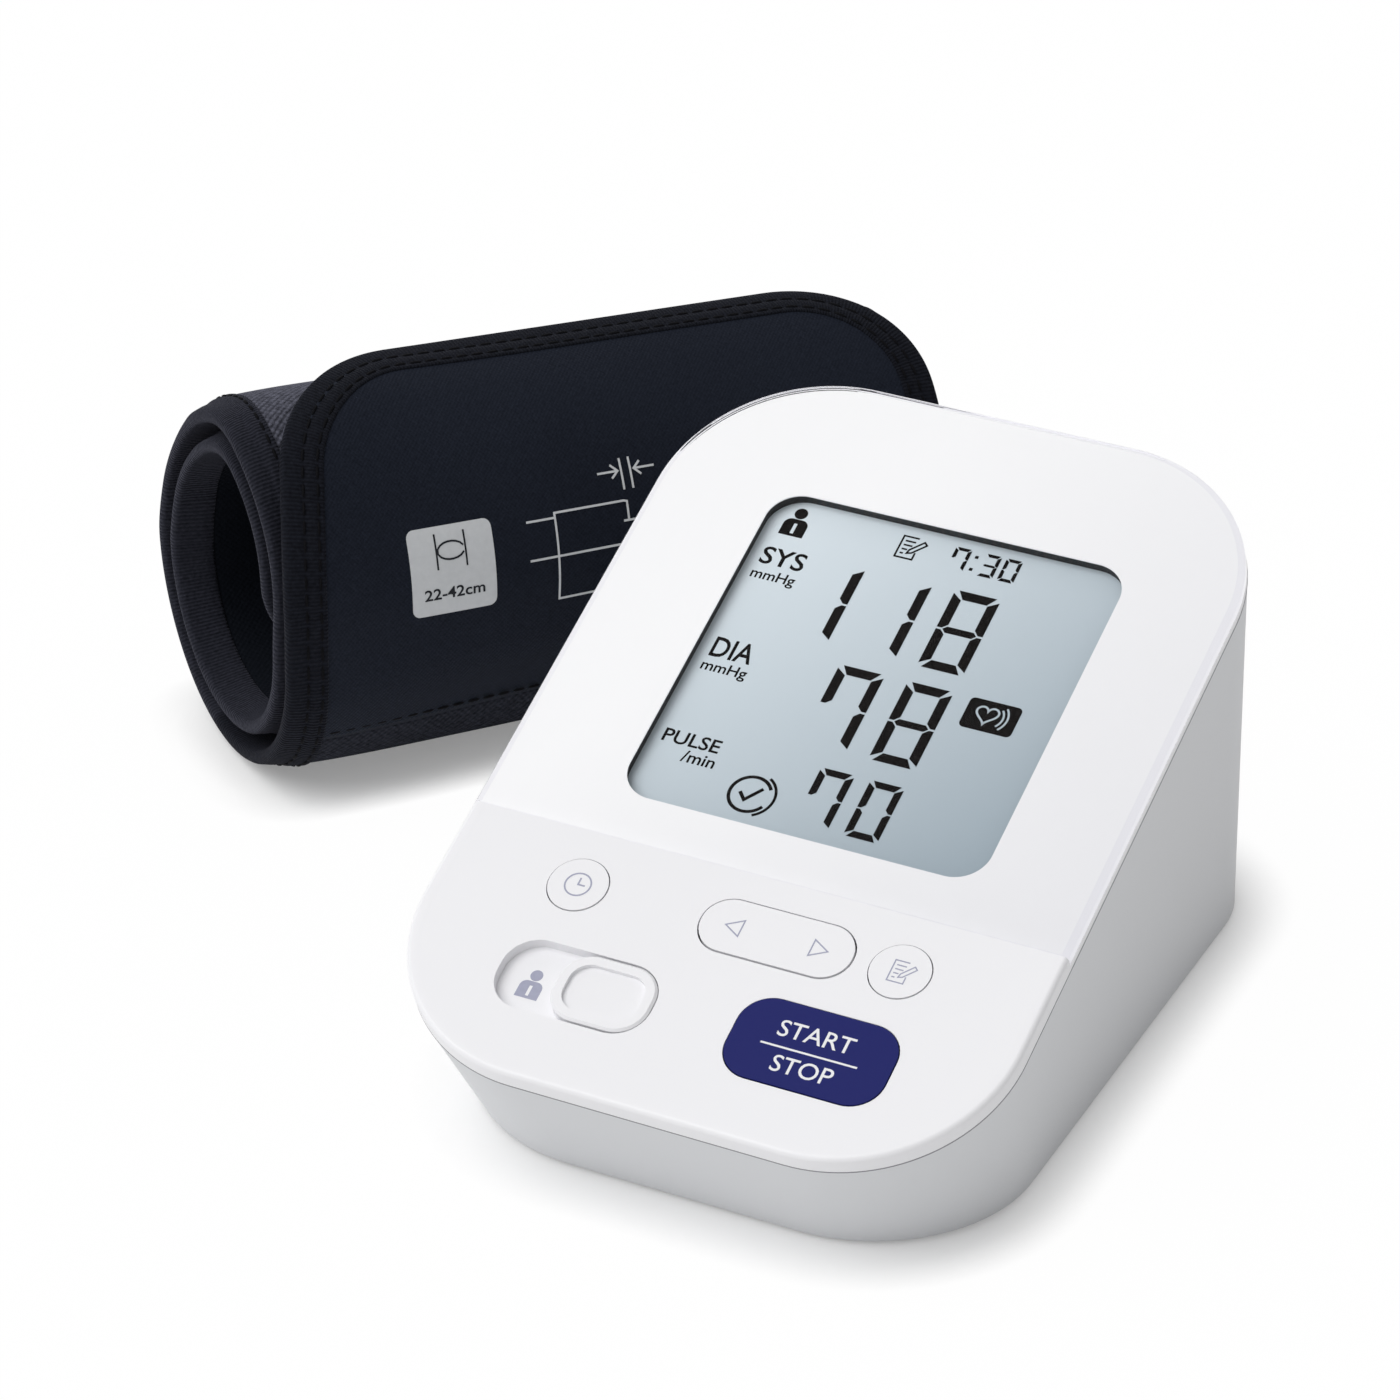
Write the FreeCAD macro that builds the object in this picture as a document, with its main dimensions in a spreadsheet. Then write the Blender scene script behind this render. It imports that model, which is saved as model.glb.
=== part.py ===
import FreeCAD, Part
import math
import os
import types

import Sketcher

# Upper arm blood pressure monitor with its cuff wound up beside it.
# Millimetres and degrees. X runs to the right, Y to the back and Z up, and the
# origin is the middle of the case's underside, which its feet hold just off the table.
# The face is one tilted plane: u runs right along it, v up its slope from the seam
# between button panel and display, and w out of it.

Vector = FreeCAD.Vector
doc = FreeCAD.newDocument("blood_pressure_monitor")
dims = doc.addObject("Spreadsheet::Sheet", "dims")

DRIVING = {
    # Case outline
    "tilt": 22.86,
    "side_margin": 20.5,
    "front_margin": 11.15,
    "rear_margin": 24.6,
    "face_corner": 29.0,
    "rim_depth": 3.4,
    "edge_bevel": 0.9,
    "front_height": 25.2,
    "foot_proud": 0.8,
    "side_flare": 4.1,
    "front_overhang": 14.1,
    "rear_setback": 14.15,
    "front_corner_step": 0.3,
    "rear_corner_step": 5.0,
    "wall": 2.2,
    "floor_thickness": 2.2,
    # Lid
    "plate_thickness": 2.2,
    "lip_clearance": 0.8,
    "lip_thickness": 1.2,
    "lip_depth": 2.0,
    "seam_gap": 0.12,
    "seam_rib": 3.2,
    # Display
    "window_thickness": 2.0,
    "mask_thickness": 0.2,
    "aperture_offset": 0.6,
    "aperture_half_width": 32.5,
    "aperture_bottom": 9.9,
    "aperture_length": 67.3,
    "aperture_corner": 6.0,
    "shelf_setback": 0.8,
    "lcd_gap": 0.8,
    "lcd_thickness": 2.6,
    "lcd_border": 2.2,
    "lcd_slack": 0.1,
    "holder_wall": 1.6,
    "zebra_width": 2.4,
    # Board and what is soldered to it
    "board_drop": 10.0,
    "board_thickness": 1.6,
    "board_side_margin": 5.0,
    "board_front_inset": 9.8,
    "board_rear_margin": 13.3,
    "board_corner": 4.0,
    "boss_radius": 2.6,
    "boss_root": 0.6,
    "boss_edge": 0.4,
    "rear_boss_inset": 7.5,
    "board_screw_radius": 1.0,
    "board_screw_head": 2.0,
    "board_screw_head_height": 1.4,
    "board_screw_bite": 4.0,
    "switch_side": 6.0,
    "switch_height": 3.4,
    "stem_radius": 1.7,
    "stem_height": 0.7,
    "chip_side": 14.0,
    "chip_height": 1.6,
    "buzzer_radius": 7.0,
    "buzzer_height": 4.5,
    "capacitor_radius": 4.0,
    "capacitor_height": 9.0,
    "sensor_side": 6.0,
    "sensor_height": 4.0,
    "sensor_edge": 0.2,
    # Push buttons
    "button_clearance": 0.2,
    "button_travel": 0.6,
    "button_proud": 0.15,
    "press_gap": 0.1,
    "flange_width": 1.2,
    "flange_thickness": 1.0,
    "flange_slack": 0.05,
    "post_radius": 1.8,
    "small_button_radius": 5.1,
    "upper_row": 10.6,
    "row_gap": 2.45,
    "clock_side": 24.3,
    "memory_side": 24.5,
    "start_side": 18.3,
    "start_width": 27.4,
    "start_length": 15.4,
    "start_corner": 5.5,
    # Rocker
    "rocker_gap": 2.0,
    "rocker_width": 26.6,
    "rocker_length": 10.2,
    "rocker_corner": 5.0,
    "rocker_slab": 3.0,
    "rocker_clearance": 0.3,
    "rocker_tip": 3.0,
    "arrow_spacing": 14.5,
    "pin_drop": 4.0,
    "pin_radius": 1.0,
    "pin_clearance": 0.04,
    "barrel_half_width": 2.4,
    "barrel_slack": 0.4,
    "lug_half_width": 2.5,
    "lug_thickness": 1.6,
    "lug_hang": 1.5,
    # User slider
    "recess_side": 18.8,
    "recess_width": 27.6,
    "recess_length": 13.6,
    "recess_corner": 6.0,
    "recess_depth": 2.0,
    "recess_floor": 1.2,
    "recess_margin": 1.6,
    "knob_width": 17.2,
    "knob_side_gap": 0.4,
    "knob_corner": 5.4,
    "knob_proud": 0.4,
    "knob_clearance": 0.2,
    "knob_lift": 0.05,
    "dish_rim": 1.9,
    "dish_depth": 0.8,
    "slider_stem_width": 6.0,
    "slider_stem_length": 4.0,
    "slider_stem_edge": 0.5,
    "slider_slot_clearance": 0.2,
    "collar_overhang": 1.2,
    "collar_thickness": 0.8,
    "slide_switch_end": 5.0,
    "slide_switch_width": 6.4,
    "lever_width": 3.0,
    "lever_length": 2.0,
    "lever_sink": 1.5,
    "lever_rise": 1.8,
    "lever_slack": 0.1,
    # Screw towers and feet
    "tower_side_inset": 6.9,
    "tower_from_seam": 4.0,
    "tower_from_rear": 33.0,
    "tower_radius": 3.4,
    "tower_height": 18.0,
    "tower_web": 2.5,
    "post_outer_radius": 3.0,
    "case_screw_radius": 1.5,
    "case_screw_head": 2.6,
    "case_screw_head_height": 1.8,
    "case_screw_bite": 8.0,
    "screw_slack": 0.05,
    "foot_radius": 5.0,
    "foot_sink": 0.8,
    "front_foot_side": 15.9,
    "front_foot_end": 19.0,
    "rear_foot_gap": 1.65,
    "rear_foot_end": 24.0,
    # Batteries
    "cell_radius": 7.15,
    "cell_length": 50.3,
    "nub_radius": 2.7,
    "nub_length": 1.3,
    "cell_gap": 0.3,
    "well_slack": 0.4,
    "contact_space": 3.2,
    "contact_thickness": 0.4,
    "contact_bump_radius": 2.6,
    "contact_half_height": 5.5,
    "well_from_rear": 34.0,
    "well_wall": 1.5,
    "cover_thickness": 1.6,
    "cover_ledge": 1.0,
    "cover_clearance": 0.25,
    "cover_lift": 0.05,
    "hook_x": 15.0,
    "hook_width": 6.0,
    "hook_slack": 0.4,
    "hook_reach": 1.5,
    "hook_thickness": 1.0,
    "thumb_width": 16.0,
    "thumb_length": 3.0,
    "thumb_depth": 0.6,
    # Pump, valve and air path
    "pump_from_well": 13.0,
    "motor_x": 3.0,
    "motor_radius": 12.0,
    "motor_length": 30.0,
    "can_wall": 1.2,
    "end_wall": 1.6,
    "rotor_radius": 8.0,
    "rotor_length": 20.0,
    "shaft_radius": 1.0,
    "shaft_clearance": 0.04,
    "head_radius": 11.5,
    "head_length": 27.0,
    "head_wall": 2.0,
    "head_cavity": 15.0,
    "eccentric_radius": 5.0,
    "eccentric_offset": 1.2,
    "eccentric_length": 9.0,
    "eccentric_gap": 1.5,
    "cradle_length": 24.0,
    "cradle_half_width": 10.0,
    "cradle_seat": 1.6,
    "cradle_height": 5.0,
    "nipple_radius": 1.6,
    "nipple_bore": 0.8,
    "nipple_gap": 1.0,
    "tube_wall": 1.0,
    "hose_run": 8.0,
    "manifold_width": 10.0,
    "manifold_length": 14.0,
    "manifold_height": 12.0,
    "manifold_top": 4.0,
    "manifold_front_rise": 4.0,
    "sensor_bend_drop": 10.3,
    "sensor_bend_radius": 13.0,
    "valve_width": 14.0,
    "valve_length": 18.0,
    "valve_height": 14.0,
    "plunger_radius": 1.5,
    "plunger_clearance": 0.05,
    "plunger_length": 12.0,
    "plunger_proud": 2.0,
    "plunger_travel": 1.5,
    "pedestal_width": 8.0,
    "jack_radius": 4.6,
    "jack_bore": 2.0,
    "jack_proud": 0.4,
    "jack_slack": 0.15,
    "dc_x": 18.0,
    "dc_width": 12.0,
    "dc_height": 11.0,
    "dc_length": 12.0,
    "dc_radius": 4.0,
    "dc_bore": 2.75,
    "dc_bore_depth": 10.0,
    "dc_pin": 0.85,
    "dc_proud": 0.3,
    "dc_wall_gap": 0.5,
    # Cuff
    "cuff_x": -137.4,
    "cuff_y": 20.2,
    "cuff_angle": 53.0,
    "cuff_width": 132.0,
    "strip_thickness": 5.0,
    "wrap_gap": 0.6,
    "wrap_radius": 32.0,
    "wrap_rise": 9.5,
    "wrap_lean": 4.0,
    "far_wrap_radius": 30.4,
    "far_wrap_rise": 4.0,
    "far_shift": -1.6,
    "fabric_thickness": 1.6,
    "bladder_clearance": 0.1,
    "bladder_margin": 10.0,
    "flap_hinge_drop": 2.0,
    "flap_hinge_gap": 0.4,
    "flap_skew": 12.0,
    "flap_stand_off": 2.2,
    "flap_near_corner": 20.0,
    "flap_far_corner": 24.0,
    "hook_pad_thickness": 1.0,
    "hook_pad_margin": 6.0,
    "port_flange": 4.5,
    "port_flange_thickness": 1.2,
    "port_nipple_radius": 2.2,
    "port_nipple_length": 7.0,
    "port_bore": 1.2,
    "port_from_end": 30.0,
}

for row, (alias, number) in enumerate(DRIVING.items(), start=1):
    dims.set(f"A{row}", alias)
    dims.set(f"B{row}", str(number))
    dims.setAlias(f"B{row}", alias)
doc.recompute()


class Size:
    """A length or angle: the expression over the sheet's cells, and its present value."""

    def __init__(self, text, value):
        self.text = text
        self.value = value

    def __add__(self, other):
        other = as_size(other)
        return Size(f"({self.text} + {other.text})", self.value + other.value)

    def __sub__(self, other):
        other = as_size(other)
        return Size(f"({self.text} - {other.text})", self.value - other.value)

    def __mul__(self, other):
        other = as_size(other)
        return Size(f"({self.text} * {other.text})", self.value * other.value)

    def __truediv__(self, other):
        other = as_size(other)
        return Size(f"({self.text} / {other.text})", self.value / other.value)

    def __neg__(self):
        return Size(f"(-1 * {self.text})", -self.value)

    def __radd__(self, other):
        return as_size(other) + self

    def __rsub__(self, other):
        return as_size(other) - self

    def __rmul__(self, other):
        return as_size(other) * self


def as_size(number):
    """A plain number as a Size, so that both can stand in one formula."""
    return number if isinstance(number, Size) else Size(str(number), float(number))


def sine(angle):
    return Size(f"sin({angle.text})", math.sin(math.radians(angle.value)))


def cosine(angle):
    return Size(f"cos({angle.text})", math.cos(math.radians(angle.value)))


d = types.SimpleNamespace(**{alias: Size(f"dims.{alias}", dims.get(alias)) for alias in DRIVING})
nodes = []

# Sizes that follow from others: the case is laid out round the display and the buttons
lug_offset = d.rocker_length / 2 + d.rocker_clearance + d.lug_thickness / 2
lower_row = d.upper_row + lug_offset + d.lug_thickness / 2 + d.row_gap + d.flange_width + d.start_length / 2
d.face_half_width = d.aperture_half_width + d.side_margin
d.face_front = lower_row + d.start_length / 2 + d.front_margin
d.face_rear = d.aperture_bottom + d.aperture_length + d.rear_margin
d.base_half_width = d.face_half_width - d.side_flare
d.base_length = (d.face_front + d.face_rear) * cosine(d.tilt) - d.front_overhang + d.rear_setback
d.base_front_corner = d.face_corner - d.front_corner_step
d.base_rear_corner = d.face_corner - d.rear_corner_step
d.board_half_width = d.aperture_half_width + d.board_side_margin
d.board_front = d.face_front - d.board_front_inset
d.board_rear = d.aperture_bottom + d.aperture_length + d.board_rear_margin
d.clock_u = d.clock_side - d.face_half_width
d.clock_v = -d.upper_row
d.memory_u = d.face_half_width - d.memory_side
d.memory_v = -d.upper_row
d.rocker_u = d.memory_u - d.small_button_radius - d.flange_width - d.rocker_gap - d.rocker_width / 2
d.rocker_v = -d.upper_row
d.start_u = d.face_half_width - d.start_side - d.start_width / 2
d.start_v = -lower_row
d.recess_u = d.recess_side + d.recess_width / 2 - d.face_half_width
d.recess_v = -lower_row
d.knob_length = d.recess_length - 2 * d.knob_side_gap
d.slider_stem_offset = (d.knob_width - d.slider_stem_width) / 2 - d.slider_stem_edge


# Helpers: binding, placing and combining

def bind(obj, **sizes):
    """Ties the object's properties to formulas over the sheet."""
    for name, size in sizes.items():
        obj.setExpression(name, as_size(size).text)


def locate(obj, x, y, z):
    """Ties the object's position to three formulas."""
    for axis, size in zip("xyz", (x, y, z)):
        obj.setExpression(f"Placement.Base.{axis}", as_size(size).text)


def face_point(u, v, w):
    """Case coordinates of a point given on the tilted face."""
    y = seam_y + v * cosine(d.tilt) - w * sine(d.tilt)
    z = seam_z + v * sine(d.tilt) + w * cosine(d.tilt)
    return u, y, z


def on_face(obj, u, v, w):
    """Stands an object on the tilted face, its own Z along the face's normal."""
    turn = FreeCAD.Rotation(Vector(1, 0, 0), d.tilt.value)
    obj.Placement = FreeCAD.Placement(Vector(), turn)
    bind(obj, **{"Placement.Rotation.Angle": d.tilt})
    locate(obj, *face_point(as_size(u), as_size(v), as_size(w)))
    return obj


def block(name, x, y, z, length, width, height):
    """Box from its lowest corner."""
    box = doc.addObject("Part::Box", name)
    bind(box, Length=length, Width=width, Height=height)
    locate(box, x, y, z)
    return box


def face_block(name, u, v, w, length, width, height):
    """Box on the face, centred on u and v, standing on the level w."""
    box = doc.addObject("Part::Box", name)
    bind(box, Length=length, Width=width, Height=height)
    return on_face(box, as_size(u) - as_size(length) / 2, as_size(v) - as_size(width) / 2, w)


def face_rod(name, u, v, w, radius, height):
    """Round rod along the face's normal, standing on the level w."""
    rod = doc.addObject("Part::Cylinder", name)
    bind(rod, Radius=radius, Height=height)
    return on_face(rod, u, v, w)


def rod(name, direction, x, y, z, radius, length):
    """Round rod along X, Y or Z from its start point."""
    cylinder = doc.addObject("Part::Cylinder", name)
    turns = {
        "x": FreeCAD.Rotation(Vector(0, 1, 0), 90),
        "y": FreeCAD.Rotation(Vector(1, 0, 0), -90),
        "z": FreeCAD.Rotation(),
    }
    cylinder.Placement = FreeCAD.Placement(Vector(), turns[direction])
    bind(cylinder, Radius=radius, Height=length)
    locate(cylinder, x, y, z)
    return cylinder


def fuse(name, *shapes):
    joined = doc.addObject("Part::MultiFuse", name)
    joined.Shapes = list(shapes)
    return joined


def group(name, *shapes):
    """Separate solids that share one node."""
    together = doc.addObject("Part::Compound", name)
    together.Links = list(shapes)
    return together


def cut(name, base, *tools):
    result = doc.addObject("Part::Cut", name)
    result.Base = base
    result.Tool = tools[0] if len(tools) == 1 else fuse(f"{name}_tools", *tools)
    return result


def common(name, *shapes):
    shared = doc.addObject("Part::MultiCommon", name)
    shared.Shapes = list(shapes)
    return shared


def node(obj, label):
    """Names a finished sub-part."""
    obj.Label = label
    nodes.append(obj)
    return obj


def rounded_outline(sketch, half_width, half_length, front_radius, rear_radius):
    """Closed rectangle about the sketch's origin with tangent corner arcs."""
    half_width, half_length = as_size(half_width), as_size(half_length)
    front_radius, rear_radius = as_size(front_radius), as_size(rear_radius)
    a, b = half_width.value, half_length.value
    rf, rr = front_radius.value, rear_radius.value
    quarter = math.pi / 2

    def line(x0, y0, x1, y1):
        return Part.LineSegment(Vector(x0, y0, 0), Vector(x1, y1, 0))

    def arc(x, y, radius, turn):
        circle = Part.Circle(Vector(x, y, 0), Vector(0, 0, 1), radius)
        return Part.ArcOfCircle(circle, turn * quarter, (turn + 1) * quarter)

    sketch.addGeometry([
        line(a, rf - b, a, b - rr),
        arc(a - rr, b - rr, rr, 0),
        line(a - rr, b, rr - a, b),
        arc(rr - a, b - rr, rr, 1),
        line(-a, b - rr, -a, rf - b),
        arc(rf - a, rf - b, rf, 2),
        line(rf - a, -b, a - rf, -b),
        arc(a - rf, rf - b, rf, 3),
    ])
    right, rear, left, front = 0, 2, 4, 6
    rear_arc, front_arc = 1, 5
    origin, start, end = -1, 1, 2
    for edge in range(8):
        sketch.addConstraint(Sketcher.Constraint("Tangent", edge, end, (edge + 1) % 8, start))
    for edge in (right, left):
        sketch.addConstraint(Sketcher.Constraint("Vertical", edge))
    for edge in (rear, front):
        sketch.addConstraint(Sketcher.Constraint("Horizontal", edge))
    sketch.addConstraint(Sketcher.Constraint("Equal", rear_arc, rear_arc + 2))
    sketch.addConstraint(Sketcher.Constraint("Equal", front_arc, front_arc + 2))
    driven = [
        (Sketcher.Constraint("DistanceX", origin, 1, right, start, a), half_width),
        (Sketcher.Constraint("DistanceX", left, start, origin, 1, a), half_width),
        (Sketcher.Constraint("DistanceY", origin, 1, rear, start, b), half_length),
        (Sketcher.Constraint("DistanceY", front, start, origin, 1, b), half_length),
        (Sketcher.Constraint("Radius", rear_arc, rr), rear_radius),
        (Sketcher.Constraint("Radius", front_arc, rf), front_radius),
    ]
    for constraint, size in driven:
        index = sketch.addConstraint(constraint)
        sketch.setExpression(f"Constraints[{index}]", size.text)


def rounded_plate(name, half_width, half_length, radius, thickness, bevel=None):
    """Padded body of a rounded outline, with its upper edge bevelled where asked."""
    body = doc.addObject("PartDesign::Body", name)
    plane = next(item for item in body.Origin.OriginFeatures if item.Role == "XY_Plane")
    sketch = body.newObject("Sketcher::SketchObject", f"{name}_outline")
    sketch.AttachmentSupport = [(plane, "")]
    sketch.MapMode = "FlatFace"
    rounded_outline(sketch, half_width, half_length, radius, radius)
    pad = body.newObject("PartDesign::Pad", f"{name}_pad")
    pad.Profile = sketch
    bind(pad, Length=thickness)
    if bevel is not None:
        doc.recompute()
        level = as_size(thickness).value
        upper = [
            f"Edge{index}"
            for index, edge in enumerate(pad.Shape.Edges, start=1)
            if all(abs(vertex.Z - level) < 1e-6 for vertex in edge.Vertexes)
        ]
        chamfer = body.newObject("PartDesign::Chamfer", f"{name}_bevel")
        chamfer.Base = (pad, upper)
        bind(chamfer, Size=bevel)
        body.Tip = chamfer
    return body


# Places worked out from the driving sizes

cover_past = 2.0
seam_y = -d.base_length / 2 - d.front_overhang + d.face_front * cosine(d.tilt)
seam_z = d.front_height + d.face_front * sine(d.tilt)
face_mid = (d.face_rear - d.face_front) / 2
face_half_length = (d.face_rear + d.face_front) / 2
shelf_top = -d.window_thickness - d.mask_thickness
board_top = -d.board_drop
board_under = board_top - d.board_thickness
aperture_mid = d.aperture_bottom + d.aperture_length / 2
switch_top = board_top + d.switch_height + d.stem_height
lip_inset = d.wall + d.lip_clearance
lip_inner_inset = lip_inset + d.lip_thickness
parting_rear_y = face_point(0, d.face_rear, -d.rim_depth)[1]
parting_rear_z = face_point(0, d.face_rear, -d.rim_depth)[2]

well_center_y = d.base_length / 2 - d.well_from_rear
cell_z = d.cover_thickness + d.cover_lift + d.well_slack + d.cell_radius
well_roof = cell_z + d.cell_radius + d.well_slack
roof_top = well_roof + d.well_wall
well_half_x = d.cell_length / 2 + d.contact_space
well_half_y = 4 * d.cell_radius + 1.5 * d.cell_gap + d.well_slack
opening_half_x = well_half_x + d.cover_ledge
opening_half_y = well_half_y + d.cover_ledge
opening_front_y = well_center_y - opening_half_y

pump_y = well_center_y - d.pump_from_well
pump_z = roof_top + d.cradle_seat + d.motor_radius
head_x = d.motor_x - d.head_length
manifold_right = head_x - d.hose_run
manifold_left = manifold_right - d.manifold_width
manifold_mid_x = manifold_right - d.manifold_width / 2
manifold_top_z = pump_z + d.manifold_top
manifold_under_z = manifold_top_z - d.manifold_height
manifold_front_y = pump_y - d.manifold_length / 2
valve_rear_y = manifold_front_y - d.hose_run
valve_axis_z = manifold_under_z + d.manifold_front_rise
nipple_length = (d.hose_run - d.nipple_gap) / 2
tube_radius = d.nipple_radius + d.tube_wall
sensor_u = d.sensor_side / 2 + d.sensor_edge - d.board_half_width
sensor_y = pump_y - d.sensor_bend_drop * sine(d.tilt)
sensor_v = (sensor_y - seam_y + board_under * sine(d.tilt)) / cosine(d.tilt)

slider_travel = d.recess_width - d.knob_width - 2 * d.knob_clearance
knob_u = d.recess_u + d.recess_width / 2 - d.knob_clearance - d.knob_width / 2
stem_u = knob_u + d.slider_stem_offset
recess_level = -d.recess_depth
recess_under = recess_level - d.recess_floor
slide_switch_top = board_top + d.switch_height
lever_top = slide_switch_top + d.lever_rise


def leaning_wall_y(z):
    """Outer rear wall at a height, on its straight line from base to parting plane."""
    return d.base_length / 2 + (parting_rear_y - d.base_length / 2) * (z / parting_rear_z)


def side_wall_x(y, z):
    """Outer right wall at a depth and height, between base and parting plane."""
    parting_z = seam_z + (y - seam_y) * sine(d.tilt) / cosine(d.tilt) - d.rim_depth / cosine(d.tilt)
    return d.base_half_width + (d.face_half_width - d.base_half_width) * (z / parting_z)


# Lower case: a tub lofted from its footprint to the tilted parting plane

def tub_loft(name, inset, base_level):
    """Ruled solid between the footprint and the parting outline, both drawn in by an inset."""
    footprint = doc.addObject("Sketcher::SketchObject", f"{name}_footprint")
    rounded_outline(footprint, d.base_half_width - inset, d.base_length / 2 - inset,
                    d.base_front_corner - inset, d.base_rear_corner - inset)
    locate(footprint, 0, 0, base_level)
    parting = doc.addObject("Sketcher::SketchObject", f"{name}_parting")
    rounded_outline(parting, d.face_half_width - inset, face_half_length - inset,
                    d.face_corner - inset, d.face_corner - inset)
    on_face(parting, 0, face_mid, -d.rim_depth)
    loft = doc.addObject("Part::Loft", name)
    loft.Sections = [footprint, parting]
    loft.Solid = True
    loft.Ruled = True
    return loft


tub_outer = tub_loft("tub_outer", as_size(0), as_size(0))
tub_inner = tub_loft("tub_inner", d.wall, d.floor_thickness)
tub_shell = cut("tub_shell", tub_outer, tub_inner)

tower_x = d.base_half_width - d.tower_side_inset
tower_rows = seam_y + d.tower_from_seam, d.base_length / 2 - d.tower_from_rear
tower_places = [(side * tower_x, y) for side in (-1, 1) for y in tower_rows]
front_foot = d.base_half_width - d.front_foot_side, d.front_foot_end - d.base_length / 2
rear_foot = opening_half_x + d.rear_foot_gap + d.foot_radius, d.base_length / 2 - d.rear_foot_end
foot_places = [(side * x, y) for side in (-1, 1) for x, y in (front_foot, rear_foot)]

towers = [
    rod(f"tower_{i}", "z", x, y, 0, d.tower_radius, d.tower_height)
    for i, (x, y) in enumerate(tower_places)
]
tower_bores = [
    rod(f"tower_bore_{i}", "z", x, y, 0, d.case_screw_radius + d.screw_slack, d.tower_height)
    for i, (x, y) in enumerate(tower_places)
]
screw_seat = d.tower_height - d.tower_web
tower_counterbores = [
    rod(f"tower_counterbore_{i}", "z", x, y, 0, d.case_screw_head + d.screw_slack, screw_seat)
    for i, (x, y) in enumerate(tower_places)
]
foot_seats = [
    rod(f"foot_seat_{i}", "z", x, y, 0, d.foot_radius, d.foot_sink)
    for i, (x, y) in enumerate(foot_places)
]

well_block = block(
    "well_block", -well_half_x - d.well_wall, well_center_y - well_half_y - d.well_wall, 0,
    2 * (well_half_x + d.well_wall), 2 * (well_half_y + d.well_wall), roof_top)
well_space = block(
    "well_space", -well_half_x, well_center_y - well_half_y, 0,
    2 * well_half_x, 2 * well_half_y, well_roof)
cover_opening = block(
    "cover_opening", -opening_half_x, opening_front_y, 0,
    2 * opening_half_x, 2 * opening_half_y, d.cover_thickness + d.cover_lift)
hook_slots = [
    block(f"hook_slot_{i}", side * d.hook_x - d.hook_width / 2 - d.hook_slack,
          opening_front_y - d.well_wall, d.cover_thickness,
          d.hook_width + 2 * d.hook_slack, d.well_wall + d.cover_ledge + d.hook_slack,
          d.floor_thickness + d.hook_thickness + d.hook_reach)
    for i, side in enumerate((-1, 1))
]
hook_floor_guard = block(
    "hook_floor_guard", -opening_half_x, opening_front_y - d.well_wall, 0,
    2 * opening_half_x, d.well_wall, d.floor_thickness)

manifold_pedestal = block(
    "manifold_pedestal", manifold_mid_x - d.pedestal_width / 2, pump_y - d.pedestal_width / 2,
    0, d.pedestal_width, d.pedestal_width, manifold_under_z)
valve_pedestal = block(
    "valve_pedestal", manifold_mid_x - d.pedestal_width / 2,
    valve_rear_y - d.valve_length / 2 - d.pedestal_width / 2, 0,
    d.pedestal_width, d.pedestal_width, valve_axis_z - d.valve_height / 2)

jack_outer_x = -side_wall_x(pump_y, pump_z) - d.jack_proud
jack_length = manifold_left - jack_outer_x
jack_hole = rod("jack_hole", "x", jack_outer_x - cover_past, pump_y, pump_z,
                d.jack_radius + d.jack_slack, jack_length)
dc_axis_z = roof_top + d.dc_height / 2
dc_rear_y = leaning_wall_y(roof_top + d.dc_height) - d.wall - d.dc_wall_gap
dc_outer_y = leaning_wall_y(dc_axis_z) + d.dc_proud
dc_hole = rod("dc_hole", "y", d.dc_x, dc_rear_y, dc_axis_z,
              d.dc_radius + d.jack_slack, dc_outer_y - dc_rear_y + cover_past)

tub_openings = cut("tub_openings", fuse("hook_windows", *hook_slots), hook_floor_guard)
lower_solid = fuse("lower_solid", tub_shell, well_block, manifold_pedestal, valve_pedestal, *towers)
node(cut("lower_case_cut", lower_solid, well_space, cover_opening, tub_openings, jack_hole, dc_hole,
         *tower_bores, *tower_counterbores, *foot_seats), "lower_case")


# Upper case: the white lid with the button panel and the shelf for the display

def face_outline_plate(name, inset, level, thickness, bevel=None):
    """Plate with the face's own outline, drawn in by an inset, standing on the level."""
    plate = rounded_plate(name, d.face_half_width - inset, face_half_length - inset,
                          d.face_corner - inset, thickness, bevel)
    return on_face(plate, 0, face_mid, level)


rim = face_outline_plate("rim", as_size(0), -d.rim_depth, d.rim_depth, d.edge_bevel)
window_recess = face_block(
    "window_recess", 0, d.face_rear / 2 + cover_past, shelf_top,
    2 * d.face_half_width + 2 * cover_past, d.face_rear + 2 * cover_past, -shelf_top + cover_past)
panel_inside = face_outline_plate(
    "panel_inside", lip_inner_inset, -d.rim_depth, d.rim_depth - d.plate_thickness)
panel_side = face_block(
    "panel_side", 0, -d.seam_rib - d.face_front / 2, -d.rim_depth,
    2 * d.face_half_width, d.face_front, d.rim_depth)
panel_hollow = common("panel_hollow", panel_inside, panel_side)
shelf_aperture = on_face(
    rounded_plate("shelf_aperture", d.aperture_half_width + d.shelf_setback,
                  d.aperture_length / 2 + d.shelf_setback, d.aperture_corner + d.shelf_setback, d.rim_depth),
    d.aperture_offset, aperture_mid, -d.rim_depth)
lip = cut("lip",
          face_outline_plate("lip_outer", lip_inset, -d.rim_depth - d.lip_depth, d.lip_depth),
          face_outline_plate("lip_inner", lip_inner_inset, -d.rim_depth - d.lip_depth, d.lip_depth))

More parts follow.
